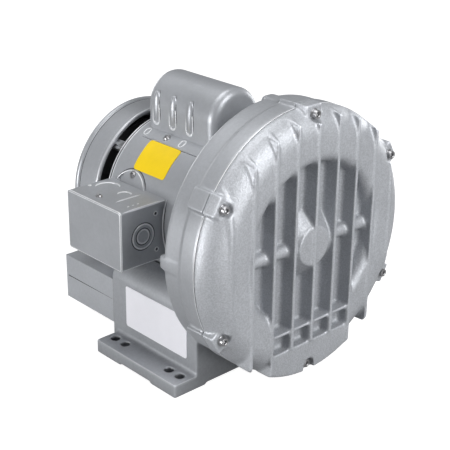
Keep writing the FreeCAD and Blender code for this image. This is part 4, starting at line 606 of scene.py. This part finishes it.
# %% Bead builder
BEAD_SECTION = [(-0.5, 0.0), (-0.46, 0.35), (-0.33, 0.76), (-0.15, 0.97), (0.0, 1.0),
                (0.15, 0.97), (0.33, 0.76), (0.46, 0.35), (0.5, 0.0)]
X, Y, Z = Vector((1, 0, 0)), Vector((0, 1, 0)), Vector((0, 0, 1))


def add_bead(bm, points, outwards, width, height, closed=False, sink=0.15):
    """A half round bead along points, in millimetres; outwards is one way out or one for each point."""
    count = len(points)
    if isinstance(outwards, Vector):
        outwards = [outwards] * count
    width, height, sink = width * MM, height * MM, sink * MM
    rows = []
    for index, (point, out) in enumerate(zip(points, outwards)):
        before = points[index - 1] if closed or index else point
        after = points[(index + 1) % count] if closed or index < count - 1 else point
        across = (after - before).normalized().cross(out).normalized()
        share = 1.0
        if not closed:
            share = min(1.0, (min(index, count - 1 - index) + 0.6) / 3.0)
        rows.append([bm.verts.new(point + across * (u * width * share) + out * (v * height * share - sink))
                     for u, v in BEAD_SECTION])
    loft(bm, rows, closed=closed, capped=not closed)


def lay(bm, found, width, height, closed=False, sink=0.02):
    """A bead through points that come with their directions."""
    add_bead(bm, [point for point, out in found], [out for point, out in found], width, height, closed, sink)


# %% Paths


def arc_path(centre, radius, first, second, start, end, step=5.0):
    """Points on an arc in the plane of two directions, from start to end in degrees."""
    steps = max(8, round(abs(end - start) / step))
    turns = [math.radians(start + (end - start) * i / steps) for i in range(steps + 1)]
    return [centre + first * (radius * math.cos(t)) + second * (radius * math.sin(t)) for t in turns]


def circle_path(centre, radius, first, second, step=5.0):
    """Points right round a circle."""
    return arc_path(centre, radius, first, second, 0, 360 - step, step)


def line_path(start, end, steps=12):
    """Points on a straight run."""
    return [start.lerp(end, i / steps) for i in range(steps + 1)]


# %% Finished meshes


def mesh_from(bm, name, degrees=40):
    """The finished mesh of a bmesh, with its faces turned outwards."""
    bmesh.ops.recalc_face_normals(bm, faces=bm.faces)
    mesh = bpy.data.meshes.new(name)
    bm.to_mesh(mesh)
    bm.free()
    smooth_by_angle(mesh, degrees)
    return mesh


def trim(bm, name, like, look=None, degrees=40):
    """Ends a bmesh as a piece that rides with a CAD node."""
    new_piece(name, mesh_from(bm, name, degrees), like, look)


# %% [markdown]
# ### Conduit box
# The front wall has a round knockout with a second one in it, and a dimple near two corners. The top
# has parts of two larger rings, a short bar, three points and one more dimple. All of them are beads,
# 0.8 to 1.8 mm wide, in a light grey that paints their highlight. Each knockout is sheared nearly
# through; a near black ring of painted shadow goes round its bright one, and each dimple has a middle of
# painted shade. The heights over the box come from the box's own faces.

# %% Conduit box pressings
box_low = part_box("conduit_box")[0]
lid_low, lid_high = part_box("conduit_lid")
front_y = box_low.y
top_z = lid_high.z
KNOCKOUT = (-91.6, 130.3)
RAISED = ((KNOCKOUT, 11.1, 1.5), (KNOCKOUT, 6.2, 1.4), ((-77.6, 148.0), 1.9, 0.8), ((-76.9, 114.3), 1.9, 0.8))
SHADED = ((KNOCKOUT, 12.3, 1.0), (KNOCKOUT, 7.6, 0.9), ((-77.9, 148.3), 0.7, 1.5), ((-77.2, 114.6), 0.7, 1.5))


def on_front(x, z):
    return Vector((x * MM, front_y, z * MM))


def on_top(x, y):
    return Vector((x * MM, y * MM, top_z))


# Painted light: the raised beads are a painted highlight, the shaded rings a painted shadow.
bm, dark = bmesh.new(), bmesh.new()
for target, rings, height, sink in ((bm, RAISED, 0.8, 0.15), (dark, SHADED, 0.14, 0.0)):
    for place, radius, width in rings:
        around = circle_path(on_front(*place), radius * MM, X, Z)
        add_bead(target, around, -Y, width, height, closed=True, sink=sink)
trim(dark, "conduit_shadows", "conduit_box", "joint_shadow")
for place, radius in (((-86.0, 57.0), 11.0), ((-86.0, 33.0), 6.0)):
    add_bead(bm, arc_path(on_top(*place), radius * MM, X, Y, -35, 125), Z, 1.8, 0.9)
add_bead(bm, line_path(on_top(-102.7, 23.6), on_top(-75.1, 23.6)), Z, 1.8, 0.9)
for x in (-100.9, -95.6, -90.4):
    add_bead(bm, line_path(on_top(x - 1.3, 8.5), on_top(x + 1.3, 8.5), 5), Z, 1.6, 0.7)
add_bead(bm, circle_path(on_top(-94.9, 71.0), 1.2 * MM, X, Y, 20), Z, 1.2, 0.5, closed=True)
trim(bm, "conduit_pressings", "conduit_box", "sheet_painted_highlight")

# %% [markdown]
# The bends of the box catch the light. A low bead on each bend, in a light grey, paints that highlight:
# round the outer edge of the lid, and along the bends of the front wall.

# %% Bright bends
ROUND = 2.5 * MM
bm = bmesh.new()
lid_x = lid_low.x
near_y, far_y = lid_low.y + ROUND, lid_high.y - ROUND
low_z, high_z = lid_low.z + ROUND, lid_high.z - ROUND
path, outwards = [], []
for y, z, begin in ((near_y, high_z, 90), (near_y, low_z, 180), (far_y, low_z, 270), (far_y, high_z, 0)):
    for degrees in range(begin, begin + 91, 15):
        t = math.radians(degrees)
        out = Y * math.cos(t) + Z * math.sin(t)
        path.append(Vector((lid_x + 0.5 * MM, y, z)) + out * (ROUND - 0.35 * MM))
        outwards.append((out - X).normalized())
add_bead(bm, path, outwards, 2.2, 0.5, closed=True)
for z, rise in ((top_z, 1), (lid_low.z, -1)):
    out = (Z * rise - Y).normalized()
    run = line_path(Vector((lid_x + 3 * MM, front_y, z)), Vector((-66 * MM, front_y, z)), 10)
    add_bead(bm, [point - out * (ROUND * (math.sqrt(2) - 1)) for point in run], out, 2.2, 0.45, sink=0.1)
# Painted highlight: the bend beads are in the light grey finish.
trim(bm, "conduit_bends", "conduit_lid", "sheet_painted_highlight")

# %% [markdown]
# ### Rims of the shell and the shroud
# The sheet of the motor shell is turned in at both ends, where a fine light bead paints the highlight and
# a dark one beside it paints the shadow. The shroud has a rolled lip round its mouth, a step behind it,
# and a bead near its back; lip and step are in a lighter grey as a painted highlight, and a dark ring
# near its back is painted shadow. A light bead paints a highlight on the housing's edge where the cover
# meets it. All of them are closed rings round the shaft.

# %% Fine rings
AXIS = Vector((0, 0, SHAFT_Z))


def add_ring(bm, radius, y, width, height, sink=0.3):
    """A bead right round the shaft."""
    points = circle_path(AXIS + Y * y, radius, X, Z, 2.0)
    outwards = [(point - AXIS - Y * y).normalized() for point in points]
    add_bead(bm, points, outwards, width, height, True, sink)


shell_low, shell_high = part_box("motor_shell")
shroud_low, shroud_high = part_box("fan_shroud")
shell_radius = (shell_high.x - shell_low.x) / 2
shroud_radius = (shroud_high.x - shroud_low.x) / 2
print("shell radius", round(shell_radius, 4), "shroud radius", round(shroud_radius, 4))
bm, dark = bmesh.new(), bmesh.new()
for target, radius, y, width, height, sink in (
        (bm, shell_radius, shell_low.y + 1.5 * MM, 1.2, 0.5, 0.1),
        (bm, shell_radius, shell_high.y - 0.6 * MM, 1.1, 0.5, 0.1),
        (bm, shell_radius, shell_high.y - 3.3 * MM, 0.9, 0.4, 0.1),
        (dark, shell_radius, shell_low.y + 0.2 * MM, 1.0, 0.3, 0.0),
        (dark, shell_radius, shell_high.y - 1.9 * MM, 1.2, 0.15, 0.0),
        (dark, shroud_radius, shroud_high.y - 8.4 * MM, 0.9, 0.12, 0.0)):
    add_ring(target, radius, y, width, height, sink)
# Painted light: the bright rings are a painted highlight, the dark rings a painted shadow.
trim(bm, "shell_rims", "motor_shell", "sheet_painted_highlight")
trim(dark, "rim_shadows", "motor_shell", "joint_shadow")

# %% [markdown]
# A half round bead would leave the lip open on its inside, which shows from the front. So the lip is a
# closed oval section, carried round the mouth.

# %% Lip and large rings
LIP = 1.6 * MM
bm = bmesh.new()
lip_section = [(math.cos(math.radians(a)), math.sin(math.radians(a))) for a in range(0, 360, 30)]
rows = []
for point in circle_path(AXIS + Y * (shroud_low.y + 0.6 * MM), shroud_radius - LIP, X, Z, 2.0):
    out = (point - AXIS - Y * point.y).normalized()
    rows.append([bm.verts.new(point + out * (LIP * c) - Y * (1.5 * MM * w)) for c, w in lip_section])
loft(bm, rows, around=True, closed=True)
add_ring(bm, shroud_radius, shroud_low.y + 3.8 * MM, 0.9, 0.3)
# Painted highlight: the lip and the step are in the lighter grey.
trim(bm, "shroud_lip", "fan_shroud", "sheet_soft_highlight")
# Painted highlight: seam_edge is a light bead on the housing's edge by the cover.
for name, radius, y, width, height, like, look in (
        ("shroud_bead", shroud_radius, shroud_high.y - 4.6 * MM, 6.0, 1.9, "fan_shroud", None),
        ("seam_edge", 118.2 * MM, -94.5 * MM, 1.0, 0.4, "blower_housing", "sheet_painted_highlight")):
    bm = bmesh.new()
    add_ring(bm, radius, y, width, height)
    trim(bm, name, like, look)

# %% [markdown]
# ### Fan ring
# Moulded fans with thin blades carry a ring on the side where the air comes in, which keeps the blades
# from flapping. It turns with the fan. Its section is given by distances from the shaft and along it.

# %% Fan ring
fan_low, fan_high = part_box("cooling_fan")
fan_radius = (fan_high.x - fan_low.x) / 2
inner, outer = fan_radius - 9 * MM, fan_radius + 0.3 * MM
section = [(inner, -0.2), (inner, 1.4), (fan_radius - 1.2 * MM, 1.4), (outer, 0.4), (outer, -1.6),
           (fan_radius - 0.9 * MM, -1.6), (fan_radius - 1.4 * MM, -0.2)]
bm = bmesh.new()
rows = []
for degrees in range(0, 360, 3):
    out = X * math.cos(math.radians(degrees)) + Z * math.sin(math.radians(degrees))
    rows.append([bm.verts.new(AXIS + out * reach + Y * (fan_high.y - 1.6 * MM + along * MM))
                 for reach, along in section])
loft(bm, rows, around=True, closed=True)
trim(bm, "fan_ring", "cooling_fan", degrees=30)

# %% [markdown]
# ### Seam and ribs of the capacitor cover
# The front cap of the capacitor cover is a separate pressing, pushed over the long part. Its edge runs up
# each side as a low upright line and fades out on the round top. The three upright ribs on each side
# were pressed with a narrow edge round them, in a light grey as a painted highlight outline. A rib ends
# in a point above and in a round cup below, and a dark line of painted shadow follows its edge on the
# side of the cap.

# %% Capacitor cover seam
can_low, can_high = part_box("capacitor_cover")
CAN_HALF = 28.0 * MM
spring_z = can_high.z - CAN_HALF
seam_y = can_low.y + 8.0 * MM
bm = bmesh.new()
for side in (-1, 1):
    foot = Vector((side * CAN_HALF, seam_y, spring_z - 17 * MM))
    path = line_path(foot, Vector((side * CAN_HALF, seam_y, spring_z)), 8)
    outwards = [X * side] * len(path)
    for degrees in range(6, 66, 6):
        t = math.radians(degrees)
        out = Vector((side * math.cos(t), 0, math.sin(t)))
        path.append(Vector((0, seam_y, spring_z)) + out * CAN_HALF)
        outwards.append(out)
    add_bead(bm, path, outwards, 1.1, 0.32)
trim(bm, "cover_seams", "capacitor_cover")

# %% Capacitor cover ribs
RIB_TALL, RIB_HALF = 15.5 * MM, 4.4 * MM
RIB_STEPS = 14


def on_can_side(side, y, z):
    """A point on the cover's side or round top, and the direction out of it."""
    if z <= spring_z:
        return Vector((side * CAN_HALF, y, z)), X * side
    reach = math.sqrt(max(0.0, CAN_HALF ** 2 - (z - spring_z) ** 2))
    out = Vector((side * reach, 0, z - spring_z)) / CAN_HALF
    return Vector((0, y, spring_z)) + out * CAN_HALF, out


bm, dark = bmesh.new(), bmesh.new()
for side in (-1, 1):
    for y in (13.5 * MM, 36.0 * MM, 58.5 * MM):
        left, right = [], []
        for step in range(RIB_STEPS + 1):
            up = step / RIB_STEPS
            half = RIB_HALF * (1 - up ** 2.6)
            z = spring_z + RIB_TALL * (1.72 * up - 0.75)
            left.append((y + half, z))
            right.append((y - half, z))
        cup = [(y + RIB_HALF * math.cos(math.radians(a)), left[0][1] - RIB_HALF * math.sin(math.radians(a)))
               for a in range(15, 166, 15)]
        shade = [(place[0] - 1.3 * MM, place[1]) for place in reversed(right)]
        for target, places, width, height, sink in ((bm, left[::-1] + cup + right, 1.3, 0.5, 0.15),
                                                    (bm, cup, 2.4, 0.8, 0.15), (dark, shade, 0.9, 0.12, 0.0)):
            lay(target, [on_can_side(side, *place) for place in places], width, height, sink=sink)
# Painted light: the rib outlines are a painted highlight, the lines beside them a painted shadow.
trim(dark, "rib_shadows", "capacitor_cover", "joint_shadow")
trim(bm, "rib_edges", "capacitor_cover", "sheet_painted_highlight")

# %% [markdown]
# ### Lines round the silencer box
# The two halves of the silencer box meet in a joint, near black for the joint and its shadow, with a
# lower lip in a lighter grey as a painted highlight, and the upper edge of the box carries a painted
# highlight too. The joint runs along each side up to the port plate. The upper edge goes round the
# corner and ends where the round shroud dips into the box.

# %% Path beside the box
BOX_CORNER = 4.0 * MM
upper_low, upper_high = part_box("silencer_upper_shell")


def beside_the_box(side, z, inset, last_x):
    """Points and directions along one side of the silencer box, round its corner and up to last_x."""
    found = [(Vector((side * (upper_high.x - inset), y, z)), X * side)
             for y in (upper_low.y + 2 * MM, upper_low.y + 30 * MM, upper_high.y - BOX_CORNER)]
    middle = Vector((side * (upper_high.x - BOX_CORNER), upper_high.y - BOX_CORNER, z))
    for degrees in range(15, 91 if last_x else 60, 15):
        t = math.radians(degrees)
        out = Y * math.sin(t) + X * (side * math.cos(t))
        found.append((middle + out * (BOX_CORNER - inset), out))
    if last_x:
        found.append((Vector((side * last_x, upper_high.y - inset, z)), Y))
    return found


# %% Silencer lines
seam_z = upper_low.z
edge_z = upper_high.z - 0.9 * MM
saddle_x = math.sqrt(max(0.0, (shroud_radius + 3 * MM) ** 2 - (SHAFT_Z - edge_z) ** 2))
bm, dark = bmesh.new(), bmesh.new()
for side in (-1, 1):
    lay(dark, beside_the_box(side, seam_z, 0.0, None), 1.3, 0.2)
    lay(bm, beside_the_box(side, seam_z - 1.3 * MM, 0.0, None), 1.1, 0.4)
    edge = beside_the_box(side, edge_z, 0.75 * MM, saddle_x + 2 * MM)
    lay(bm, [(point, (out + Z).normalized()) for point, out in edge], 1.5, 0.35)
# Painted light: the edges and the lip are a painted highlight; the joint is dark with painted shadow.
trim(bm, "silencer_edges", "silencer_upper_shell", "sheet_soft_highlight")
trim(dark, "silencer_joint", "silencer_upper_shell", "joint_shadow")

# %% [markdown]
# ### Edges of the feet
# The tops of the feet are machined flat. The edge between them and the rough sides shows as a narrow
# bright line, a painted highlight: a thin bead in a lighter grey follows each outer edge, tilted half way
# between the top and the side.

# %% Foot edges
FOOT_IN, FOOT_OUT, FOOT_FRONT, FOOT_BACK, FOOT_TOP = 82 * MM, 105 * MM, -56 * MM, 55 * MM, 13 * MM
ROUNDING = 0.35 * MM
edge_top = FOOT_TOP - ROUNDING
bm = bmesh.new()
for side in (-1, 1):
    out_x, in_x = side * (FOOT_OUT - ROUNDING), side * FOOT_IN
    turn_x = out_x - side * 0.6 * MM
    for start_point, end_point, face in (
            ((out_x, FOOT_FRONT + 1 * MM), (out_x, FOOT_BACK - 1 * MM), X * side),
            ((in_x, FOOT_FRONT + ROUNDING), (turn_x, FOOT_FRONT + ROUNDING), -Y),
            ((in_x, FOOT_BACK - ROUNDING), (turn_x, FOOT_BACK - ROUNDING), Y)):
        run = line_path(Vector((*start_point, edge_top)), Vector((*end_point, edge_top)), 8)
        lay(bm, [(point, (face + Z).normalized()) for point in run], 1.1, 0.22)
# Painted highlight: the foot edge beads are in the lighter grey.
trim(bm, "foot_edges", "blower_housing", "sheet_soft_highlight")

# %% [markdown]
# ### Edges that lie on the motor shell
# The conduit box and the capacitor cover end in thin flanges on the round shell. Each cut edge shows as a
# bright line with a dark line beside it, a painted highlight and a painted shadow. They are beads laid on
# the shell, at its radius plus the sheet: round the tab of the conduit box, down the front of the box,
# and round the slots of the cover's flanges.

# %% Edges of the conduit box on the shell
SHEET = 1.5 * MM
TAB_Y, TAB_Z = 48.5 * MM, 147.95 * MM


def on_round(side, lift, y, z):
    """A point on the motor shell's side, lifted off it, and the direction out of it."""
    reach = shell_radius + lift
    out = Vector((side * math.sqrt(max(0.0, reach ** 2 - (z - SHAFT_Z) ** 2)), 0, z - SHAFT_Z)) / reach
    return AXIS + Y * y + out * reach, out


# Painted light: the bm beads are a painted highlight, the dark beads a painted shadow beside the edges.
bm, dark = bmesh.new(), bmesh.new()
for target, radius, lift, width, height in ((bm, 21.6 * MM, SHEET, 1.2, 0.3), (dark, 22.8 * MM, 0, 1.1, 0.2)):
    turns = [math.radians(degrees) for degrees in range(24, 157, 6)]
    lay(target, [on_round(-1, lift, TAB_Y + radius * math.cos(t), TAB_Z + radius * math.sin(t)) for t in turns],
        width, height)
heights = [box_low.z + (top_z - box_low.z) * step / 16 for step in range(17)]
lay(bm, [on_round(-1, 0, front_y - 1.0 * MM, z) for z in heights], 1.5, 0.8)
lay(dark, [on_round(-1, 0, front_y - 2.4 * MM, z) for z in heights], 1.4, 0.15)

# %% Slots and edges of the cover's flanges
SLOT_HALF, SLOT_ROUND, SLOT_ACROSS, SLOT_LIFT = 1.0 * MM, 2.7 * MM, 33.0 * MM, 1.2 * MM
FLANGE_HALF = 38.4 * MM
for side in (-1, 1):
    for y in (17.1 * MM, 64.8 * MM):
        found = []
        for degrees in range(0, 360, 20):
            t = math.radians(degrees)
            across = SLOT_ACROSS + SLOT_HALF * (1 if math.cos(t) > 0 else -1) + SLOT_ROUND * math.cos(t)
            z = SHAFT_Z + math.sqrt((shell_radius + SLOT_LIFT) ** 2 - across ** 2)
            found.append(on_round(side, SLOT_LIFT, y + SLOT_ROUND * math.sin(t), z))
        lay(bm, found, 1.0, 0.35, closed=True)
    edge_z = SHAFT_Z + math.sqrt((shell_radius + 0.2 * MM) ** 2 - FLANGE_HALF ** 2)
    lay(dark, [on_round(side, 0, y * MM, edge_z) for y in range(-14, 69, 4)], 0.9, 0.15)
# Painted highlight and painted shadow along the sheet edges on the shell.
trim(bm, "flange_edges", "motor_shell", "sheet_painted_highlight")
trim(dark, "sheet_edge_shadows", "motor_shell", "joint_shadow")

# %% [markdown]
# ## Screws
# Each head sits where the CAD screw has its head, so its place is read from that node. One node holds
# several screws. They are told apart by walking from corner to corner along the edges, after corners
# that lie on each other are joined, because the faces of a CAD mesh don't share theirs.

# %% Separate screws
TOUCHING = 5e-6


def loose_parts(mesh):
    """The corner points of each separate part of a mesh."""
    bm = bmesh.new()
    bm.from_mesh(mesh)
    bmesh.ops.remove_doubles(bm, verts=bm.verts, dist=TOUCHING)
    left = set(bm.verts)
    parts = []
    for first in bm.verts:
        if first not in left:
            continue
        left.discard(first)
        found, queue = [], [first]
        while queue:
            here = queue.pop()
            found.append(here.co.copy())
            for edge in here.link_edges:
                near = edge.other_vert(here)
                if near in left:
                    left.discard(near)
                    queue.append(near)
        parts.append(found)
    bm.free()
    print("separate parts", len(parts))
    return parts


# %% [markdown]
# ### Tabs of the shroud
# At each of its screws the shroud has a narrow tab, bent in from the mouth towards the motor shell. It
# grows thinner and rounder to its end. Its section has small chamfers, so that it looks pressed.

# %% Shroud tabs
TAB_ROWS = ((1.5, 1.9), (5, 1.6), (8, 1.6), (9, 1.3), (9.4, 0.6))
TAB_SECTION = ((-1, 0.2), (-0.9, 0), (0.9, 0), (1, 0.2), (1, 1.2), (-1, 1.2))
bm = bmesh.new()
for points in loose_parts(nodes["shroud_screws"].data):
    middle = sum(points, Vector()) / len(points)
    out = (middle - AXIS) * Vector((1, 0, 1))
    out.normalize()
    along = out.cross(Y)
    front = shroud_low.y + 0.2 * MM
    rows = []
    for depth, half in TAB_ROWS:
        place = AXIS + out * (shroud_radius - depth * MM)
        rows.append([bm.verts.new(place + along * (half * MM * c) + Y * (front + d * MM))
                     for c, d in TAB_SECTION])
    loft(bm, rows, around=True, capped=True)
# Painted highlight: the tabs are in the light grey finish.
trim(bm, "shroud_tabs", "fan_shroud", "sheet_painted_highlight", 30)

# %% [markdown]
# ### Socket screws of the cover
# The cover is held by socket head screws on thin washers. Head and washer are turned shapes: rows of
# corners round an axis, joined with faces. Two rows of the head have six sides, which gives the hole
# for the key.

# %% Turned shapes


def ring_row(bm, seat, out, reach, level, sides=0, spokes=48):
    """Corners round an axis. The level is a number or a rule for the turn; sides make a polygon."""
    first = out.orthogonal().normalized()
    second = out.cross(first)
    row = []
    for spoke in range(spokes):
        turn = 2 * math.pi * spoke / spokes
        far = reach
        if sides:
            part = math.pi / sides
            far = reach * math.cos(part) / math.cos(turn % (2 * part) - part)
        high = level(turn) if callable(level) else level
        flat = first * (far * math.cos(turn)) + second * (far * math.sin(turn))
        row.append(bm.verts.new(seat + flat + out * high))
    return row


def add_socket_head(bm, seat, out, radius, height, socket):
    """A socket head with a chamfered rim and a six-sided hole, its axis along out."""
    rows = [ring_row(bm, seat, out, *row) for row in (
        (0.55 * radius, -14 * MM), (0.55 * radius, 0), (radius, 0), (radius, height * 0.86),
        (radius * 0.96, height * 0.96), (radius * 0.86, height), (socket * 1.12, height),
        (socket, height - 0.3 * MM, 6), (socket, height - 2.4 * MM, 6), (socket * 0.3, height - 2.9 * MM))]
    loft(bm, rows, around=True, capped=True)


def add_washer(bm, seat, out, radius, height):
    """A thin washer under a head."""
    rows = [ring_row(bm, seat, out, reach, level, spokes=40) for reach, level in (
        (radius - 0.2 * MM, 0), (radius, 0.15 * MM), (radius, height - 0.15 * MM), (radius - 0.2 * MM, height))]
    loft(bm, rows, around=True, capped=True)


# %% Socket screws
SEAT_Y = -107.0 * MM
WASHER = 0.7 * MM
bm = bmesh.new()
for points in loose_parts(nodes["cover_screws"].data):
    front = min(point.y for point in points)
    heads = [point for point in points if point.y < front + 1 * MM]
    middle = sum(heads, Vector()) / len(heads)
    seat = Vector((middle.x, SEAT_Y, middle.z))
    add_washer(bm, seat, -Y, 4.4 * MM, WASHER)
    add_socket_head(bm, seat - Y * WASHER, -Y, 3.6 * MM, 3.9 * MM, 2.0 * MM)
stand_in("socket_screws", mesh_from(bm, "socket_screws", 30), "cover_screws")

# %% [markdown]
# ### Pan head screws
# The sheet is held by small pan head screws with a washer face and a cross recess. One head is a grid of
# rings and spokes whose height follows a dome, with the recess cut in by the same height rule. The axis
# of a screw in the round sheet points away from the shaft.

# %% Pan head
PAN_RINGS = 16
SKIRT = 0.4 * MM


def head_height(reach, turn, radius, height):
    """Height of a pan head at a distance from its axis and a turn round it."""
    washer = 0.28 * height
    dome = radius * 0.78
    level = washer
    if reach < dome:
        level = washer + (height - washer) * min(1.0, (1.0 - (reach / dome) ** 4) * 1.15)
    narrow, long_side = sorted((abs(reach * math.cos(turn)), abs(reach * math.sin(turn))))
    if narrow < 0.13 * radius and long_side < 0.56 * radius:
        level -= height * 0.62 * min(1.0, (0.56 * radius - long_side) / (0.16 * radius))
    return level


def add_pan_head(bm, seat, out, radius, height):
    """A pan head with a cross recess on a seat, its axis along out."""
    rows = []
    for number in range(1, PAN_RINGS + 1):
        reach = radius * number / PAN_RINGS
        rows.append(ring_row(bm, seat, out, reach, lambda turn: head_height(reach, turn, radius, height)))
    centre = bm.verts.new(seat + out * head_height(0, 0, radius, height))
    for corner, after in zip(rows[0], rows[0][1:] + rows[0][:1]):
        bm.faces.new((centre, corner, after))
    rows.append(ring_row(bm, seat, out, radius, -SKIRT))
    loft(bm, rows, around=True)
    bm.faces.new(list(reversed(rows[-1])))


# %% Pan head screws
PAN_HEIGHT = 2.2 * MM


def pan_screws(name, node_name, axis_of):
    """Pan heads that stand for a CAD node's screws."""
    bm = bmesh.new()
    for points in loose_parts(nodes[node_name].data):
        out = axis_of(sum(points, Vector()) / len(points))
        top = max(point.dot(out) for point in points)
        across = [(point - out * point.dot(out)) for point in points]
        middle = sum(across, Vector()) / len(across)
        wide = max((place - middle).length for place in across)
        add_pan_head(bm, middle + out * (top - PAN_HEIGHT), out, wide, PAN_HEIGHT)
    stand_in(name, mesh_from(bm, name, 30), node_name)


def away_from_shaft(centre):
    return Vector((centre.x, 0, centre.z - SHAFT_Z)).normalized()


pan_screws("lid_pan_screw", "conduit_lid_screw", lambda centre: Z)
pan_screws("box_pan_screws", "conduit_box_screws", away_from_shaft)
pan_screws("cover_pan_screws", "capacitor_cover_screws", away_from_shaft)

# %% [markdown]
# ## Blank sticker
# The yellow sticker is thin film with round corners, wrapped on the shell. It is built in rows along the
# shaft, one row for each step of the turn, and the rows near its ends are shorter, which rounds the
# corners. It carries nothing.

# %% Blank sticker
film_low, film_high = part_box("shell_sticker")
FILM_LOW, FILM_HIGH, CORNER = math.radians(58.0), math.radians(32.8), 3.0 * MM
FILM_COLUMNS = 6
film_radius = shell_radius + 0.4 * MM
arc_length = film_radius * (FILM_LOW - FILM_HIGH)
stations = [CORNER * (1 - math.cos(math.radians(a))) for a in range(0, 91, 15)]
middle = [CORNER + (arc_length - 2 * CORNER) * i / 18 for i in range(1, 18)]
bm = bmesh.new()
rows = []
for place in stations + middle + [arc_length - place for place in reversed(stations)]:
    near = max(0.0, CORNER - min(place, arc_length - place))
    inset = CORNER - math.sqrt(max(0.0, CORNER ** 2 - near ** 2))
    turn = FILM_HIGH + place / film_radius
    out = Vector((-math.sin(turn), 0, math.cos(turn)))
    start_y, end_y = film_low.y + inset, film_high.y - inset
    rows.append([bm.verts.new(AXIS + out * film_radius + Y * (start_y + (end_y - start_y) * i / FILM_COLUMNS))
                 for i in range(FILM_COLUMNS + 1)])
loft(bm, rows)
film = applied(mesh_from(bm, "blank_film"), ("SOLIDIFY", {"thickness": 0.34 * MM, "offset": -1.0}))
smooth_by_angle(film, 40)
stand_in("blank_shell_sticker", film, "shell_sticker")

# %% [markdown]
# ## Threads in the ports
# The CAD ports are plain holes. A ridge that winds along the hole gives them the look of a pipe
# thread, with a pitch of 2.2 mm. Its ends run out into the wall.

# %% Port threads
port_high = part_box("port_plate")[1]
PITCH, PORT_RADIUS, PORT_X, PORT_Z = 2.2 * MM, 14.8 * MM, 44 * MM, 42 * MM
TURNS, STEPS, RUN_OUT, RIDGE = 4, 40, 12, 1.1 * MM
root = PORT_RADIUS + 0.1 * MM
bm = bmesh.new()
for port_x in (-PORT_X, PORT_X):
    rows = []
    for step in range(TURNS * STEPS + 1):
        turn = 2 * math.pi * step / STEPS
        out = Vector((math.cos(turn), 0, math.sin(turn)))
        centre = Vector((port_x, port_high.y - 1.6 * MM - PITCH * step / STEPS, PORT_Z))
        crest = PORT_RADIUS - min(1.0, step / RUN_OUT, (TURNS * STEPS - step) / RUN_OUT) * RIDGE
        rows.append([bm.verts.new(centre + out * reach + Y * (PITCH * share))
                     for reach, share in ((root, -0.45), (crest, -0.06), (crest, 0.06), (root, 0.45))])
    loft(bm, rows)
trim(bm, "port_threads", "port_plate", "machined_aluminium", 35)
